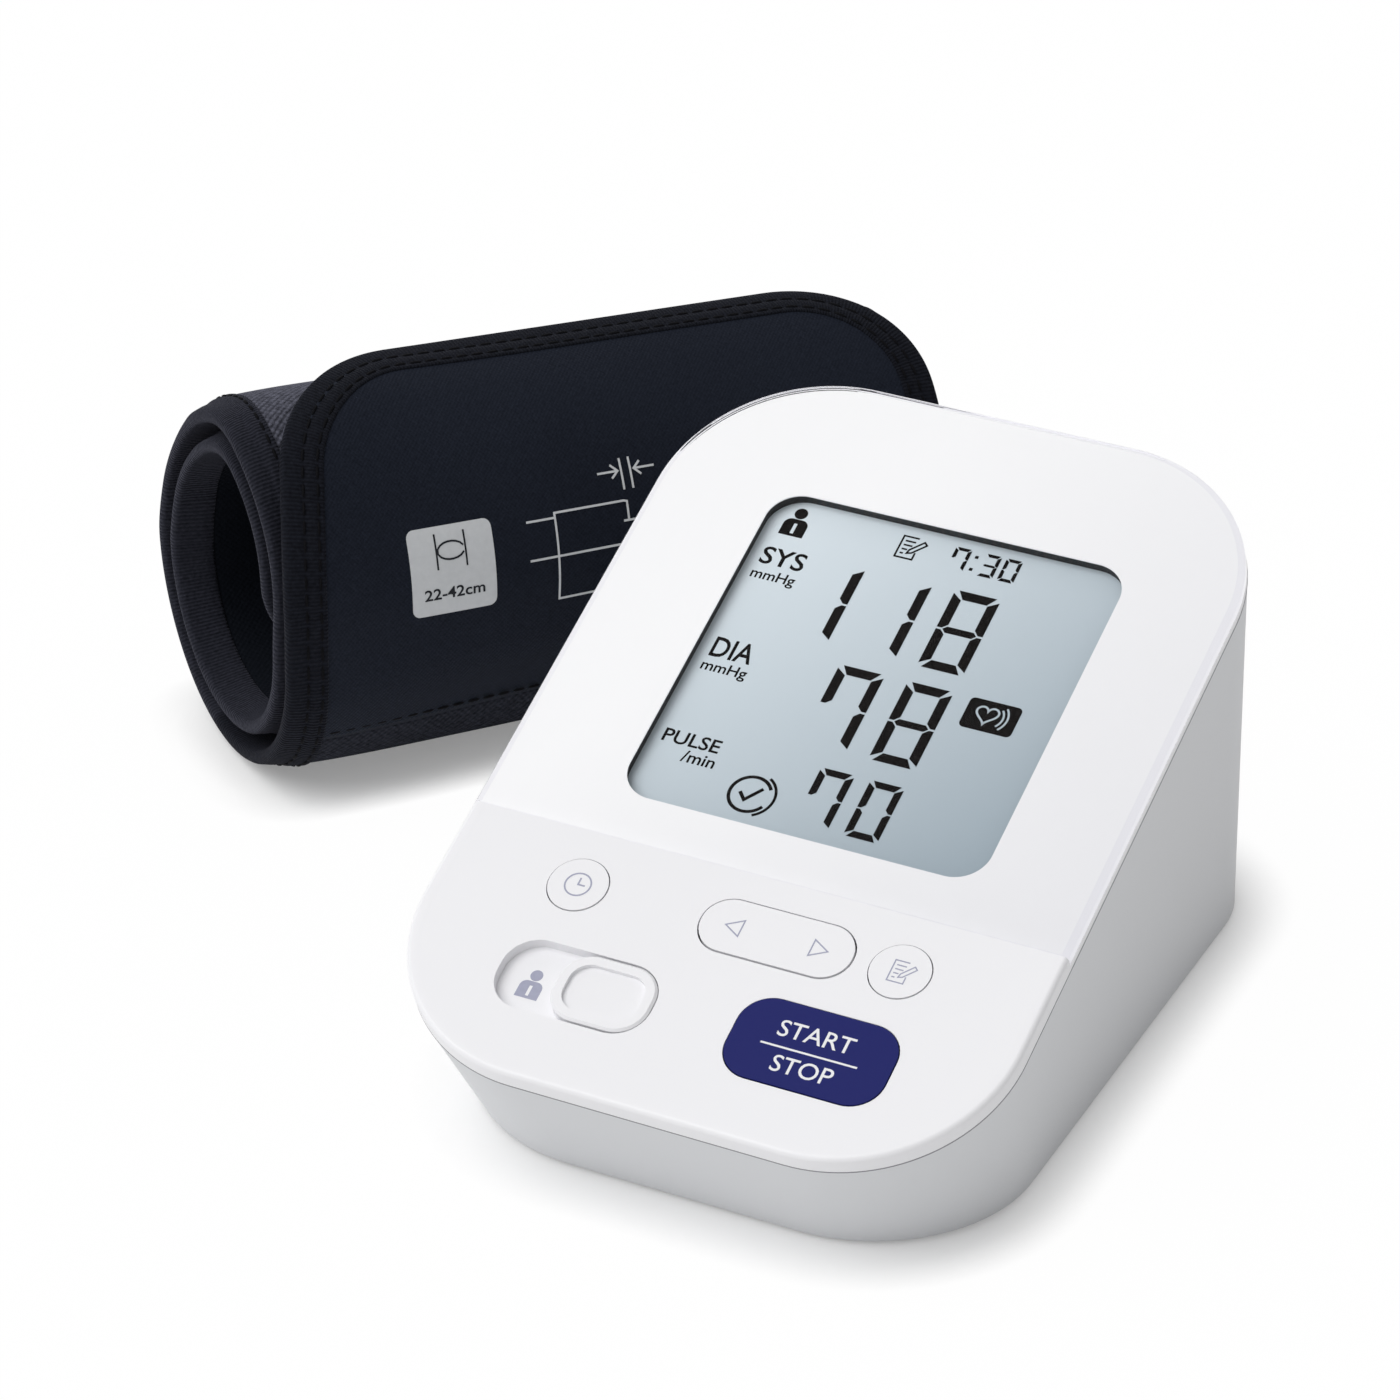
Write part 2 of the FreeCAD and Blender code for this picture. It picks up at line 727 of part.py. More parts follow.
shelf_boss_top = shelf_top - (d.rim_depth + shelf_top) / 2
panel_boss_top = -d.plate_thickness + d.boss_root
front_boss_u = d.board_half_width - d.boss_radius - d.boss_edge
front_boss_v = -d.upper_row - lug_offset - d.lug_thickness
rear_boss_u = d.board_half_width - d.rear_boss_inset
rear_boss_v = d.board_rear - d.board_corner
boss_places = [(side * front_boss_u, front_boss_v, panel_boss_top) for side in (-1, 1)]
boss_places += [(side * rear_boss_u, rear_boss_v, shelf_boss_top) for side in (-1, 1)]
bosses = [
    face_rod(f"boss_{i}", u, v, board_top, d.boss_radius, top - board_top)
    for i, (u, v, top) in enumerate(boss_places)
]
boss_bores = [
    face_rod(f"boss_bore_{i}", u, v, board_top - cover_past, d.board_screw_radius,
             d.board_screw_bite + cover_past)
    for i, (u, v, top) in enumerate(boss_places)
]

case_posts = [
    rod(f"case_post_{i}", "z", x, y, d.tower_height, d.post_outer_radius, parting_rear_z)
    for i, (x, y) in enumerate(tower_places)
]
above_shelf = face_block(
    "above_shelf", 0, face_mid, shelf_boss_top,
    4 * d.face_half_width, 4 * face_half_length, 2 * parting_rear_z)
trimmed_posts = cut("trimmed_posts", fuse("case_posts", *case_posts), above_shelf)
post_bores = [
    rod(f"post_bore_{i}", "z", x, y, d.tower_height - cover_past, d.case_screw_radius,
        d.case_screw_bite + cover_past)
    for i, (x, y) in enumerate(tower_places)
]

lugs = [
    face_block(f"lug_{i}", d.rocker_u, d.rocker_v + side * lug_offset, -d.pin_drop - d.lug_hang,
               2 * d.lug_half_width, d.lug_thickness, d.pin_drop + d.lug_hang - d.plate_thickness)
    for i, side in enumerate((-1, 1))
]
pin_length = 2 * (lug_offset + d.lug_thickness / 2)


def face_pin(name, radius, length):
    """Rod along the face's slope through the rocker's tipping axis."""
    pin = doc.addObject("Part::Cylinder", name)
    turn = FreeCAD.Rotation(Vector(1, 0, 0), d.tilt.value - 90)
    pin.Placement = FreeCAD.Placement(Vector(), turn)
    bind(pin, Radius=radius, Height=length)
    bind(pin, **{"Placement.Rotation.Angle": d.tilt - 90})
    locate(pin, *face_point(d.rocker_u, d.rocker_v - length / 2, -d.pin_drop))
    return pin


recess_pad = face_block(
    "recess_pad", d.recess_u, d.recess_v, recess_under,
    d.recess_width + 2 * d.recess_margin, d.recess_length + 2 * d.recess_margin,
    d.recess_floor + d.recess_depth - d.plate_thickness + d.boss_root)
recess_hole = on_face(
    rounded_plate("recess_hole", d.recess_width / 2, d.recess_length / 2, d.recess_corner,
                  d.recess_depth + cover_past),
    d.recess_u, d.recess_v, recess_level)
stem_slot = face_block(
    "stem_slot", stem_u - slider_travel / 2, d.recess_v, recess_under - cover_past,
    d.slider_stem_width + slider_travel + 2 * d.slider_slot_clearance,
    d.slider_stem_length + 2 * d.slider_slot_clearance, d.recess_floor + 2 * cover_past)

small_holes = [
    face_rod(f"{name}_hole", u, v, -d.rim_depth, d.small_button_radius + d.button_clearance,
             d.rim_depth + cover_past)
    for name, u, v in (("clock", d.clock_u, d.clock_v), ("memory", d.memory_u, d.memory_v))
]
start_hole = on_face(
    rounded_plate("start_hole", d.start_width / 2 + d.button_clearance,
                  d.start_length / 2 + d.button_clearance, d.start_corner + d.button_clearance,
                  d.rim_depth + cover_past),
    d.start_u, d.start_v, -d.rim_depth)
rocker_hole = on_face(
    rounded_plate("rocker_hole", d.rocker_width / 2 + d.rocker_clearance,
                  d.rocker_length / 2 + d.rocker_clearance, d.rocker_corner + d.rocker_clearance,
                  d.rim_depth + cover_past),
    d.rocker_u, d.rocker_v, -d.rim_depth)

lid_plate = cut("lid_plate", rim, window_recess, panel_hollow, shelf_aperture)
lid_solid = fuse("lid_solid", lid_plate, lip, trimmed_posts, recess_pad, *bosses, *lugs)
node(cut("upper_case_cut", lid_solid, recess_hole, stem_slot, start_hole, rocker_hole,
         face_pin("pin_bore", d.pin_radius, pin_length + cover_past),
         *small_holes, *boss_bores, *post_bores), "upper_case")


# Display: clear panel, printed mask, display cell, its holder and its rubber connector

below_seam = face_block(
    "below_seam", 0, d.seam_gap - d.face_front, -d.rim_depth,
    2 * d.face_half_width + cover_past, 2 * d.face_front, d.rim_depth + cover_past)
clear_panel = face_outline_plate(
    "clear_panel", as_size(0), -d.window_thickness, d.window_thickness, d.edge_bevel)
node(cut("display_window_cut", clear_panel, below_seam), "display_window")

mask_sheet = face_outline_plate("mask_sheet", as_size(0), shelf_top, d.mask_thickness)
mask_aperture = on_face(
    rounded_plate("mask_aperture", d.aperture_half_width, d.aperture_length / 2,
                  d.aperture_corner, d.mask_thickness),
    d.aperture_offset, aperture_mid, shelf_top)
node(cut("display_mask_cut", mask_sheet, below_seam, mask_aperture), "display_mask")

lcd_width = 2 * (d.aperture_half_width + d.lcd_border)
lcd_length = d.aperture_length + 2 * d.lcd_border
lcd_under = -d.rim_depth - d.lcd_gap - d.lcd_thickness
holder_width = lcd_width + 2 * (d.lcd_slack + d.holder_wall)
holder_length = lcd_length + 2 * (d.lcd_slack + d.holder_wall)
node(face_block("lcd_glass_block", d.aperture_offset, aperture_mid, lcd_under,
                lcd_width, lcd_length, d.lcd_thickness), "lcd_glass")

holder_block = face_block("holder_block", d.aperture_offset, aperture_mid, board_top,
                          holder_width, holder_length, d.board_drop - d.rim_depth)
holder_pocket = face_block("holder_pocket", d.aperture_offset, aperture_mid, lcd_under,
                           lcd_width + 2 * d.lcd_slack, lcd_length + 2 * d.lcd_slack, d.board_drop)
holder_space = face_block("holder_space", d.aperture_offset, aperture_mid, board_top,
                          lcd_width - 2 * d.holder_wall, lcd_length - 2 * d.holder_wall, d.board_drop)
node(cut("lcd_holder_cut", holder_block, holder_pocket, holder_space), "lcd_holder")

zebra_v = d.aperture_bottom - d.lcd_border + d.holder_wall + d.zebra_width / 2
node(face_block("zebra_block", d.aperture_offset, zebra_v, board_top,
                lcd_width - 2 * d.holder_wall - 2 * d.lcd_slack, d.zebra_width, lcd_under - board_top),
     "zebra_strip")


# Main board with its screws, chip, buzzer, capacitor and pressure sensor

board_mid = (d.board_rear - d.board_front) / 2
board_plate = on_face(
    rounded_plate("board_plate", d.board_half_width, (d.board_rear + d.board_front) / 2,
                  d.board_corner, d.board_thickness),
    0, board_mid, board_under)
board_holes = [
    face_rod(f"board_hole_{i}", u, v, board_under, d.board_screw_radius + d.screw_slack, d.board_thickness)
    for i, (u, v, top) in enumerate(boss_places)
]
node(cut("main_board_cut", board_plate, *board_holes), "main_board")

board_screws = [
    fuse(f"board_screw_{i}",
         face_rod(f"board_screw_head_{i}", u, v, board_under - d.board_screw_head_height,
                  d.board_screw_head, d.board_screw_head_height),
         face_rod(f"board_screw_shank_{i}", u, v, board_under, d.board_screw_radius,
                  d.board_thickness + d.board_screw_bite))
    for i, (u, v, top) in enumerate(boss_places)
]
node(group("board_screw_group", *board_screws), "board_screws")

node(face_block("chip_block", 0, aperture_mid, board_under - d.chip_height,
                d.chip_side, d.chip_side, d.chip_height), "mcu_chip")
node(face_rod("buzzer_disc", d.board_half_width / 2, d.recess_v, board_under - d.buzzer_height,
              d.buzzer_radius, d.buzzer_height), "buzzer")
capacitor_v = d.board_rear - 2 * d.board_corner - d.capacitor_radius
node(face_rod("capacitor_can", d.board_half_width / 2, capacitor_v, board_under - d.capacitor_height,
              d.capacitor_radius, d.capacitor_height), "filter_capacitor")

sensor_under = board_under - d.sensor_height
sensor_nipple_end = sensor_under - nipple_length
sensor_solid = fuse(
    "sensor_solid",
    face_block("sensor_block", sensor_u, sensor_v, sensor_under, d.sensor_side, d.sensor_side,
               d.sensor_height),
    face_rod("sensor_nipple", sensor_u, sensor_v, sensor_nipple_end, d.nipple_radius, nipple_length))
node(cut("sensor_cut", sensor_solid,
         face_rod("sensor_bore", sensor_u, sensor_v, sensor_nipple_end, d.nipple_bore, nipple_length)),
     "pressure_sensor")


# Tact switches under the buttons

def tact_switch(label, u, v):
    """Square switch on the board with a round stem."""
    body = face_block(f"{label}_body", u, v, board_top, d.switch_side, d.switch_side, d.switch_height)
    stem = face_rod(f"{label}_stem", u, v, board_top + d.switch_height, d.stem_radius, d.stem_height)
    node(fuse(f"{label}_fuse", body, stem), label)


tact_switch("start_switch", d.start_u, d.start_v)
tact_switch("clock_switch", d.clock_u, d.clock_v)
tact_switch("memory_switch", d.memory_u, d.memory_v)
tact_switch("back_switch", d.rocker_u - d.arrow_spacing / 2, d.rocker_v)
tact_switch("forward_switch", d.rocker_u + d.arrow_spacing / 2, d.rocker_v)


# Push buttons: cap, holding flange under the panel, and post over the switch

flange_top = -d.plate_thickness - d.flange_slack
flange_under = flange_top - d.flange_thickness
post_under = switch_top + d.button_travel + d.press_gap


def round_button(label, u, v):
    cap = face_rod(f"{label}_cap", u, v, flange_under, d.small_button_radius, d.button_proud - flange_under)
    flange = face_rod(f"{label}_flange", u, v, flange_under, d.small_button_radius + d.flange_width,
                      d.flange_thickness)
    post = face_rod(f"{label}_post", u, v, post_under, d.post_radius, flange_under - post_under)
    node(fuse(f"{label}_fuse", cap, flange, post), label)


round_button("clock_button", d.clock_u, d.clock_v)
round_button("memory_button", d.memory_u, d.memory_v)

start_cap = on_face(
    rounded_plate("start_cap", d.start_width / 2, d.start_length / 2, d.start_corner,
                  d.button_proud - flange_under),
    d.start_u, d.start_v, flange_under)
start_flange = on_face(
    rounded_plate("start_flange", d.start_width / 2 + d.flange_width, d.start_length / 2 + d.flange_width,
                  d.start_corner + d.flange_width, d.flange_thickness),
    d.start_u, d.start_v, flange_under)
start_post = face_rod("start_post", d.start_u, d.start_v, post_under, d.post_radius,
                      flange_under - post_under)
node(fuse("start_button_fuse", start_cap, start_flange, start_post), "start_button")


# Rocker: one long cap on a steel pin, with a post over each of its two switches

rocker_cap = on_face(
    rounded_plate("rocker_cap", d.rocker_width / 2, d.rocker_length / 2, d.rocker_corner,
                  d.rocker_slab + d.button_proud),
    d.rocker_u, d.rocker_v, -d.rocker_slab)
barrel = face_block("rocker_barrel", d.rocker_u, d.rocker_v, -d.pin_drop - d.lug_hang,
                    2 * d.barrel_half_width, d.rocker_length - 2 * d.barrel_slack,
                    d.pin_drop + d.lug_hang - d.rocker_slab)
rocker_post_under = switch_top + d.arrow_spacing / 2 * sine(d.rocker_tip) + d.press_gap
rocker_posts = [
    face_rod(f"rocker_post_{i}", d.rocker_u + side * d.arrow_spacing / 2, d.rocker_v, rocker_post_under,
             d.post_radius, -d.rocker_slab - rocker_post_under)
    for i, side in enumerate((-1, 1))
]
node(cut("rocker_cut", fuse("rocker_solid", rocker_cap, barrel, *rocker_posts),
         face_pin("rocker_bore", d.pin_radius + d.pin_clearance, pin_length)), "rocker_button")
node(face_pin("rocker_pin_rod", d.pin_radius, pin_length), "rocker_pin")


# User slider: dished knob, stem through the recess floor, and the switch lever in its fork

knob_under = recess_level + d.knob_lift
knob = on_face(
    rounded_plate("knob", d.knob_width / 2, d.knob_length / 2, d.knob_corner,
                  d.knob_proud - knob_under, d.knob_proud),
    knob_u, d.recess_v, knob_under)
dish = on_face(
    rounded_plate("dish", d.knob_width / 2 - d.dish_rim, d.knob_length / 2 - d.dish_rim,
                  d.knob_corner - d.dish_rim, d.dish_depth + cover_past),
    knob_u, d.recess_v, d.knob_proud - d.dish_depth)
collar_under = recess_under - d.flange_slack - d.collar_thickness
stem_under = lever_top - d.lever_rise / 2
slider_stem = face_block("slider_stem", stem_u, d.recess_v, stem_under,
                         d.slider_stem_width, d.slider_stem_length, knob_under - stem_under)
collar = face_block("slider_collar", stem_u, d.recess_v, collar_under,
                    d.slider_stem_width, d.slider_stem_length + 2 * d.collar_overhang, d.collar_thickness)
fork_gap = face_block("fork_gap", stem_u, d.recess_v, stem_under,
                      d.lever_width, d.slider_stem_length, lever_top - stem_under)
node(cut("user_slider_cut", fuse("slider_solid", knob, slider_stem, collar), dish, fork_gap), "user_slider")

lever_under = slide_switch_top - d.lever_sink
node(face_block("lever_block", stem_u, d.recess_v, lever_under,
                d.lever_width, d.lever_length, lever_top - lever_under), "slide_switch_lever")
slide_switch_body = face_block(
    "slide_switch_body", stem_u - slider_travel / 2, d.recess_v, board_top,
    slider_travel + 2 * d.slide_switch_end, d.slide_switch_width, d.switch_height)
lever_track = face_block(
    "lever_track", stem_u - slider_travel / 2, d.recess_v, lever_under - d.lever_slack,
    slider_travel + d.lever_width + 2 * d.lever_slack, d.lever_length + 2 * d.lever_slack, d.switch_height)
node(cut("slide_switch_cut", slide_switch_body, lever_track), "slide_switch")


# Case screws and rubber feet

case_screws = [
    fuse(f"case_screw_{i}",
         rod(f"case_screw_head_{i}", "z", x, y, screw_seat - d.case_screw_head_height,
             d.case_screw_head, d.case_screw_head_height),
         rod(f"case_screw_shank_{i}", "z", x, y, screw_seat, d.case_screw_radius,
             d.tower_web + d.case_screw_bite))
    for i, (x, y) in enumerate(tower_places)
]
node(group("case_screw_group", *case_screws), "case_screws")

feet = [
    rod(f"foot_{i}", "z", x, y, -d.foot_proud, d.foot_radius, d.foot_proud + d.foot_sink)
    for i, (x, y) in enumerate(foot_places)
]
node(group("foot_group", *feet), "rubber_feet")


# Four cells side by side, with sheet contacts at both ends and the cover below

cell_pitch = 2 * d.cell_radius + d.cell_gap
cell_places = [well_center_y + (index - 1.5) * cell_pitch for index in range(4)]
for index, cell_y in enumerate(cell_places):
    forward = index % 2 == 0
    can_x = -d.cell_length / 2 + (0 if forward else d.nub_length)
    nub_x = d.cell_length / 2 - d.nub_length if forward else -d.cell_length / 2
    can = rod(f"cell_can_{index}", "x", can_x, cell_y, cell_z, d.cell_radius, d.cell_length - d.nub_length)
    nub = rod(f"cell_nub_{index}", "x", nub_x, cell_y, cell_z, d.nub_radius, d.nub_length)
    node(fuse(f"cell_{index}", can, nub), f"battery_{index + 1}")


def contact_plate(name, side, first, last):
    """Sheet on an end wall of the well with a bump for each cell that it touches."""
    plate_x = well_half_x - d.contact_thickness if side > 0 else -well_half_x
    bump_x = d.cell_length / 2 if side > 0 else -well_half_x
    start_y = cell_places[first] - d.contact_half_height
    span = cell_places[last] - cell_places[first] + 2 * d.contact_half_height
    plate = block(f"{name}_plate", plate_x, start_y, cell_z - d.contact_half_height,
                  d.contact_thickness, span, 2 * d.contact_half_height)
    bumps = [
        rod(f"{name}_bump_{index}", "x", bump_x, cell_places[index], cell_z,
            d.contact_bump_radius, d.contact_space)
        for index in sorted({first, last})
    ]
    return fuse(name, plate, *bumps)


node(group("contacts_left", contact_plate("contact_a", -1, 0, 0), contact_plate("contact_b", -1, 1, 2),
           contact_plate("contact_c", -1, 3, 3)), "battery_contacts_left")
node(group("contacts_right", contact_plate("contact_d", 1, 0, 1), contact_plate("contact_e", 1, 2, 3)),
     "battery_contacts_right")

cover_half_x = opening_half_x - d.cover_clearance
cover_half_y = opening_half_y - d.cover_clearance
cover_front_y = well_center_y - cover_half_y
cover_plate = block("cover_plate", -cover_half_x, cover_front_y, 0,
                    2 * cover_half_x, 2 * cover_half_y, d.cover_thickness)
hook_level = d.floor_thickness + d.cover_clearance / 2
hook_pieces = []
for index, side in enumerate((-1, 1)):
    hook_left = side * d.hook_x - d.hook_width / 2
    hook_pieces.append(
        block(f"hook_web_{index}", hook_left, cover_front_y, d.cover_thickness,
              d.hook_width, d.hook_thickness, hook_level + d.hook_thickness - d.cover_thickness))
    hook_pieces.append(
        block(f"hook_tip_{index}", hook_left, opening_front_y - d.hook_reach, hook_level,
              d.hook_width, d.hook_reach + d.cover_clearance + d.hook_thickness, d.hook_thickness))
thumb_groove = block("thumb_groove", -d.thumb_width / 2,
                     well_center_y + cover_half_y - 3 * d.thumb_length, 0,
                     d.thumb_width, d.thumb_length, d.thumb_depth)
node(cut("battery_cover_cut", fuse("cover_solid", cover_plate, *hook_pieces), thumb_groove),
     "battery_cover")


# Air pump: motor can, rotor, eccentric, head and the saddle under it

can_outer = rod("can_outer", "x", d.motor_x, pump_y, pump_z, d.motor_radius, d.motor_length)
can_inner = rod("can_inner", "x", d.motor_x + d.end_wall, pump_y, pump_z,
                d.motor_radius - d.can_wall, d.motor_length - 2 * d.end_wall)
bearing_bore = rod("bearing_bore", "x", d.motor_x, pump_y, pump_z,
                   d.shaft_radius + d.shaft_clearance, d.motor_length)
node(cut("pump_motor_cut", can_outer, can_inner, bearing_bore), "pump_motor")

eccentric_x = d.motor_x - d.eccentric_gap - d.eccentric_length
rotor_core = rod("rotor_core", "x", d.motor_x + (d.motor_length - d.rotor_length) / 2, pump_y, pump_z,
                 d.rotor_radius, d.rotor_length)
shaft = rod("shaft", "x", eccentric_x, pump_y, pump_z, d.shaft_radius,
            d.motor_x + d.motor_length - eccentric_x)
node(fuse("pump_rotor_fuse", rotor_core, shaft), "pump_rotor")

eccentric_disc = rod("eccentric_disc", "x", eccentric_x, pump_y, pump_z + d.eccentric_offset,
                     d.eccentric_radius, d.eccentric_length)
eccentric_bore = rod("eccentric_bore", "x", eccentric_x, pump_y, pump_z, d.shaft_radius,
                     d.eccentric_length)
node(cut("pump_eccentric_cut", eccentric_disc, eccentric_bore), "pump_eccentric")

head_solid = fuse(
    "head_solid",
    rod("head_outer", "x", head_x, pump_y, pump_z, d.head_radius, d.head_length),
    rod("head_nipple", "x", head_x - nipple_length, pump_y, pump_z, d.nipple_radius, nipple_length))
head_cavity = rod("head_cavity_space", "x", d.motor_x - d.head_cavity, pump_y, pump_z,
                  d.head_radius - d.head_wall, d.head_cavity)
head_bore = rod("head_bore", "x", head_x - nipple_length, pump_y, pump_z, d.nipple_bore,
                d.head_length + nipple_length - d.head_cavity)
node(cut("pump_head_cut", head_solid, head_cavity, head_bore), "pump_head")

cradle_block = block("cradle_block", d.motor_x + (d.motor_length - d.cradle_length) / 2,
                     pump_y - d.cradle_half_width, roof_top,
                     d.cradle_length, 2 * d.cradle_half_width, d.cradle_height)
cradle_seat = rod("cradle_seat_space", "x", d.motor_x, pump_y, pump_z, d.motor_radius, d.motor_length)
node(cut("pump_cradle_cut", cradle_block, cradle_seat), "pump_cradle")


# Exhaust valve with its plunger

valve_front_y = valve_rear_y - d.valve_length
valve_solid = fuse(
    "valve_solid",
    block("valve_block", manifold_mid_x - d.valve_width / 2, valve_front_y, valve_axis_z - d.valve_height / 2,
          d.valve_width, d.valve_length, d.valve_height),
    rod("valve_nipple", "y", manifold_mid_x, valve_rear_y, valve_axis_z, d.nipple_radius, nipple_length))
plunger_depth = d.plunger_length - d.plunger_proud
plunger_bore = rod("plunger_bore", "y", manifold_mid_x, valve_front_y, valve_axis_z,
                   d.plunger_radius + d.plunger_clearance,
                   plunger_depth + d.plunger_travel + d.press_gap)
valve_bore = rod("valve_bore", "y", manifold_mid_x, valve_front_y, valve_axis_z, d.nipple_bore,
                 d.valve_length + nipple_length)
node(cut("valve_body_cut", valve_solid, plunger_bore, valve_bore), "valve_body")
node(rod("plunger_rod", "y", manifold_mid_x, valve_front_y - d.plunger_proud, valve_axis_z,
         d.plunger_radius, d.plunger_length), "valve_plunger")


# Air manifold, hoses and the socket for the cuff's hose

manifold_solid = fuse(
    "manifold_solid",
    block("manifold_block", manifold_left, manifold_front_y, manifold_under_z,
          d.manifold_width, d.manifold_length, d.manifold_height),
    rod("manifold_pump_nipple", "x", manifold_right, pump_y, pump_z, d.nipple_radius, nipple_length),
    rod("manifold_valve_nipple", "y", manifold_mid_x, manifold_front_y - nipple_length, valve_axis_z,
        d.nipple_radius, nipple_length),
    rod("manifold_sensor_nipple", "z", sensor_u, pump_y, manifold_top_z, d.nipple_radius, nipple_length))
manifold_bores = [
    rod("manifold_pump_bore", "x", manifold_left, pump_y, pump_z, d.nipple_bore,
        d.manifold_width + nipple_length),
    rod("manifold_valve_bore", "y", manifold_mid_x, manifold_front_y - nipple_length, valve_axis_z,
        d.nipple_bore, nipple_length + d.manifold_length / 2),
    rod("manifold_link_bore", "z", manifold_mid_x, pump_y, valve_axis_z, d.nipple_bore,
        pump_z - valve_axis_z),
    rod("manifold_sensor_bore", "z", sensor_u, pump_y, pump_z, d.nipple_bore,
        d.manifold_top + nipple_length),
]
node(cut("air_manifold_cut", manifold_solid, *manifold_bores), "air_manifold")

node(cut("pump_tube_cut",
         rod("pump_tube_outer", "x", manifold_right, pump_y, pump_z, tube_radius, d.hose_run),
         rod("pump_tube_inner", "x", manifold_right, pump_y, pump_z, d.nipple_radius, d.hose_run)),
     "pump_tube")
node(cut("valve_tube_cut",
         rod("valve_tube_outer", "y", manifold_mid_x, valve_rear_y, valve_axis_z, tube_radius, d.hose_run),
         rod("valve_tube_inner", "y", manifold_mid_x, valve_rear_y, valve_axis_z, d.nipple_radius,
             d.hose_run)),
     "valve_tube")


def bent_tube(name, start, corner, finish, bend, outer, inner):
    """Hose of two straight runs joined by a tangent arc, swept along its centre line."""
    first = (start - corner).normalize()
    second = (finish - corner).normalize()
    half_turn = (math.pi - first.getAngle(second)) / 2
    reach = bend * math.tan(half_turn)
    bisector = (first + second).normalize()
    middle = corner + bisector * (bend / math.cos(half_turn) - bend)
    arc_start = corner + first * reach
    arc_end = corner + second * reach
    path = Part.Wire([
        Part.LineSegment(start, arc_start).toShape(),
        Part.Arc(arc_start, middle, arc_end).toShape(),
        Part.LineSegment(arc_end, finish).toShape(),
    ])
    solids = [
        path.makePipeShell([Part.Wire(Part.makeCircle(radius, start, corner - start))], True, False)
        for radius in (outer, inner)
    ]
    tube = doc.addObject("Part::Feature", name)
    tube.Shape = solids[0].cut(solids[1])
    return tube


def as_vector(point):
    return Vector(*(as_size(size).value for size in point))


sensor_hose_start = as_vector(face_point(sensor_u, sensor_v, sensor_under))
sensor_hose_corner = as_vector(face_point(sensor_u, sensor_v, board_under - d.sensor_bend_drop))
sensor_hose_end = as_vector((sensor_u, pump_y, manifold_top_z))
node(bent_tube("sensor_tube_sweep", sensor_hose_start, sensor_hose_corner, sensor_hose_end,
               d.sensor_bend_radius.value, tube_radius.value, d.nipple_radius.value), "sensor_tube")

node(cut("air_jack_cut",
         rod("jack_outer", "x", jack_outer_x, pump_y, pump_z, d.jack_radius, jack_length),
         rod("jack_inner", "x", jack_outer_x, pump_y, pump_z, d.jack_bore, jack_length)),
     "air_jack")


# Power socket on the roof of the battery well, reaching through the rear wall

dc_solid = fuse(
    "dc_solid",
    block("dc_block", d.dc_x - d.dc_width / 2, dc_rear_y - d.dc_length, roof_top,
          d.dc_width, d.dc_length, d.dc_height),
    rod("dc_barrel", "y", d.dc_x, dc_rear_y, dc_axis_z, d.dc_radius, dc_outer_y - dc_rear_y))
dc_bore = rod("dc_bore_space", "y", d.dc_x, dc_outer_y - d.dc_bore_depth, dc_axis_z, d.dc_bore,
              d.dc_bore_depth)
dc_pin = rod("dc_pin_rod", "y", d.dc_x, dc_outer_y - d.dc_bore_depth, dc_axis_z, d.dc_pin,
             d.dc_bore_depth - d.dc_proud)
node(fuse("dc_jack_fuse", cut("dc_hollow", dc_solid, dc_bore), dc_pin), "dc_jack")


# Cuff: one flat strip wound in upright oval turns, drawn in planes across the roll.
# In such a plane x runs to the back of the roll and y up, and the roll lies along z.
# The turns are lower at the far end, so that every layer is ruled between two outlines.

pitch = d.strip_thickness.value + d.wrap_gap.value
half_strip = d.strip_thickness.value / 2
cuff_turn = FreeCAD.Rotation(Vector(0, 0, 1), d.cuff_angle.value + 90)
cuff_turn = cuff_turn.multiply(FreeCAD.Rotation(Vector(1, 0, 0), 90))
cuff_place = FreeCAD.Placement(Vector(d.cuff_x.value, d.cuff_y.value, -d.foot_proud.value), cuff_turn)
Stretch = types.SimpleNamespace


def wound_strip(quarters, along):
    """Quarter turns and straight runs, from the free end on top round the front and inwards.

    Each quarter turn's radius is a quarter of the pitch less than the last one's, and its
    centre moves by as much, so that the line stays smooth and each turn lies one pitch inside.
    """
    share = along / d.cuff_width.value
    radius = d.wrap_radius.value + (d.far_wrap_radius.value - d.wrap_radius.value) * share
    rise = d.wrap_rise.value + (d.far_wrap_rise.value - d.wrap_rise.value) * share
    step = pitch / 4
    centre = Vector(d.far_shift.value * share, 0, along)
    angle = 90 + d.wrap_lean.value
    stretches = []
    for index in range(quarters):
        stretches.append(Stretch(first=centre, last=centre, radius=radius, start=angle, stop=angle + 90))
        angle += 90
        if index % 2 == 0:
            ended = centre + toward(angle + 90) * rise
            stretches.append(Stretch(first=centre, last=ended, radius=radius, start=angle, stop=angle))
            centre = ended
        centre = centre + toward(angle) * step
        radius -= step
    lowest = stretches[2]
    lift = Vector(0, lowest.radius + half_strip - lowest.first.y, 0)
    for item in stretches:
        item.first = item.first + lift
        item.last = item.last + lift
    return stretches


def toward(angle):
    return Vector(math.cos(math.radians(angle)), math.sin(math.radians(angle)), 0)


def split_run(stretch, distance, gap):
    """A straight run in two, with a gap between the halves."""
    along = (stretch.last - stretch.first).normalize()
    upper = Stretch(**vars(stretch))
    lower = Stretch(**vars(stretch))
    upper.last = stretch.first + along * (distance - gap / 2)
    lower.first = stretch.first + along * (distance + gap / 2)
    return upper, lower


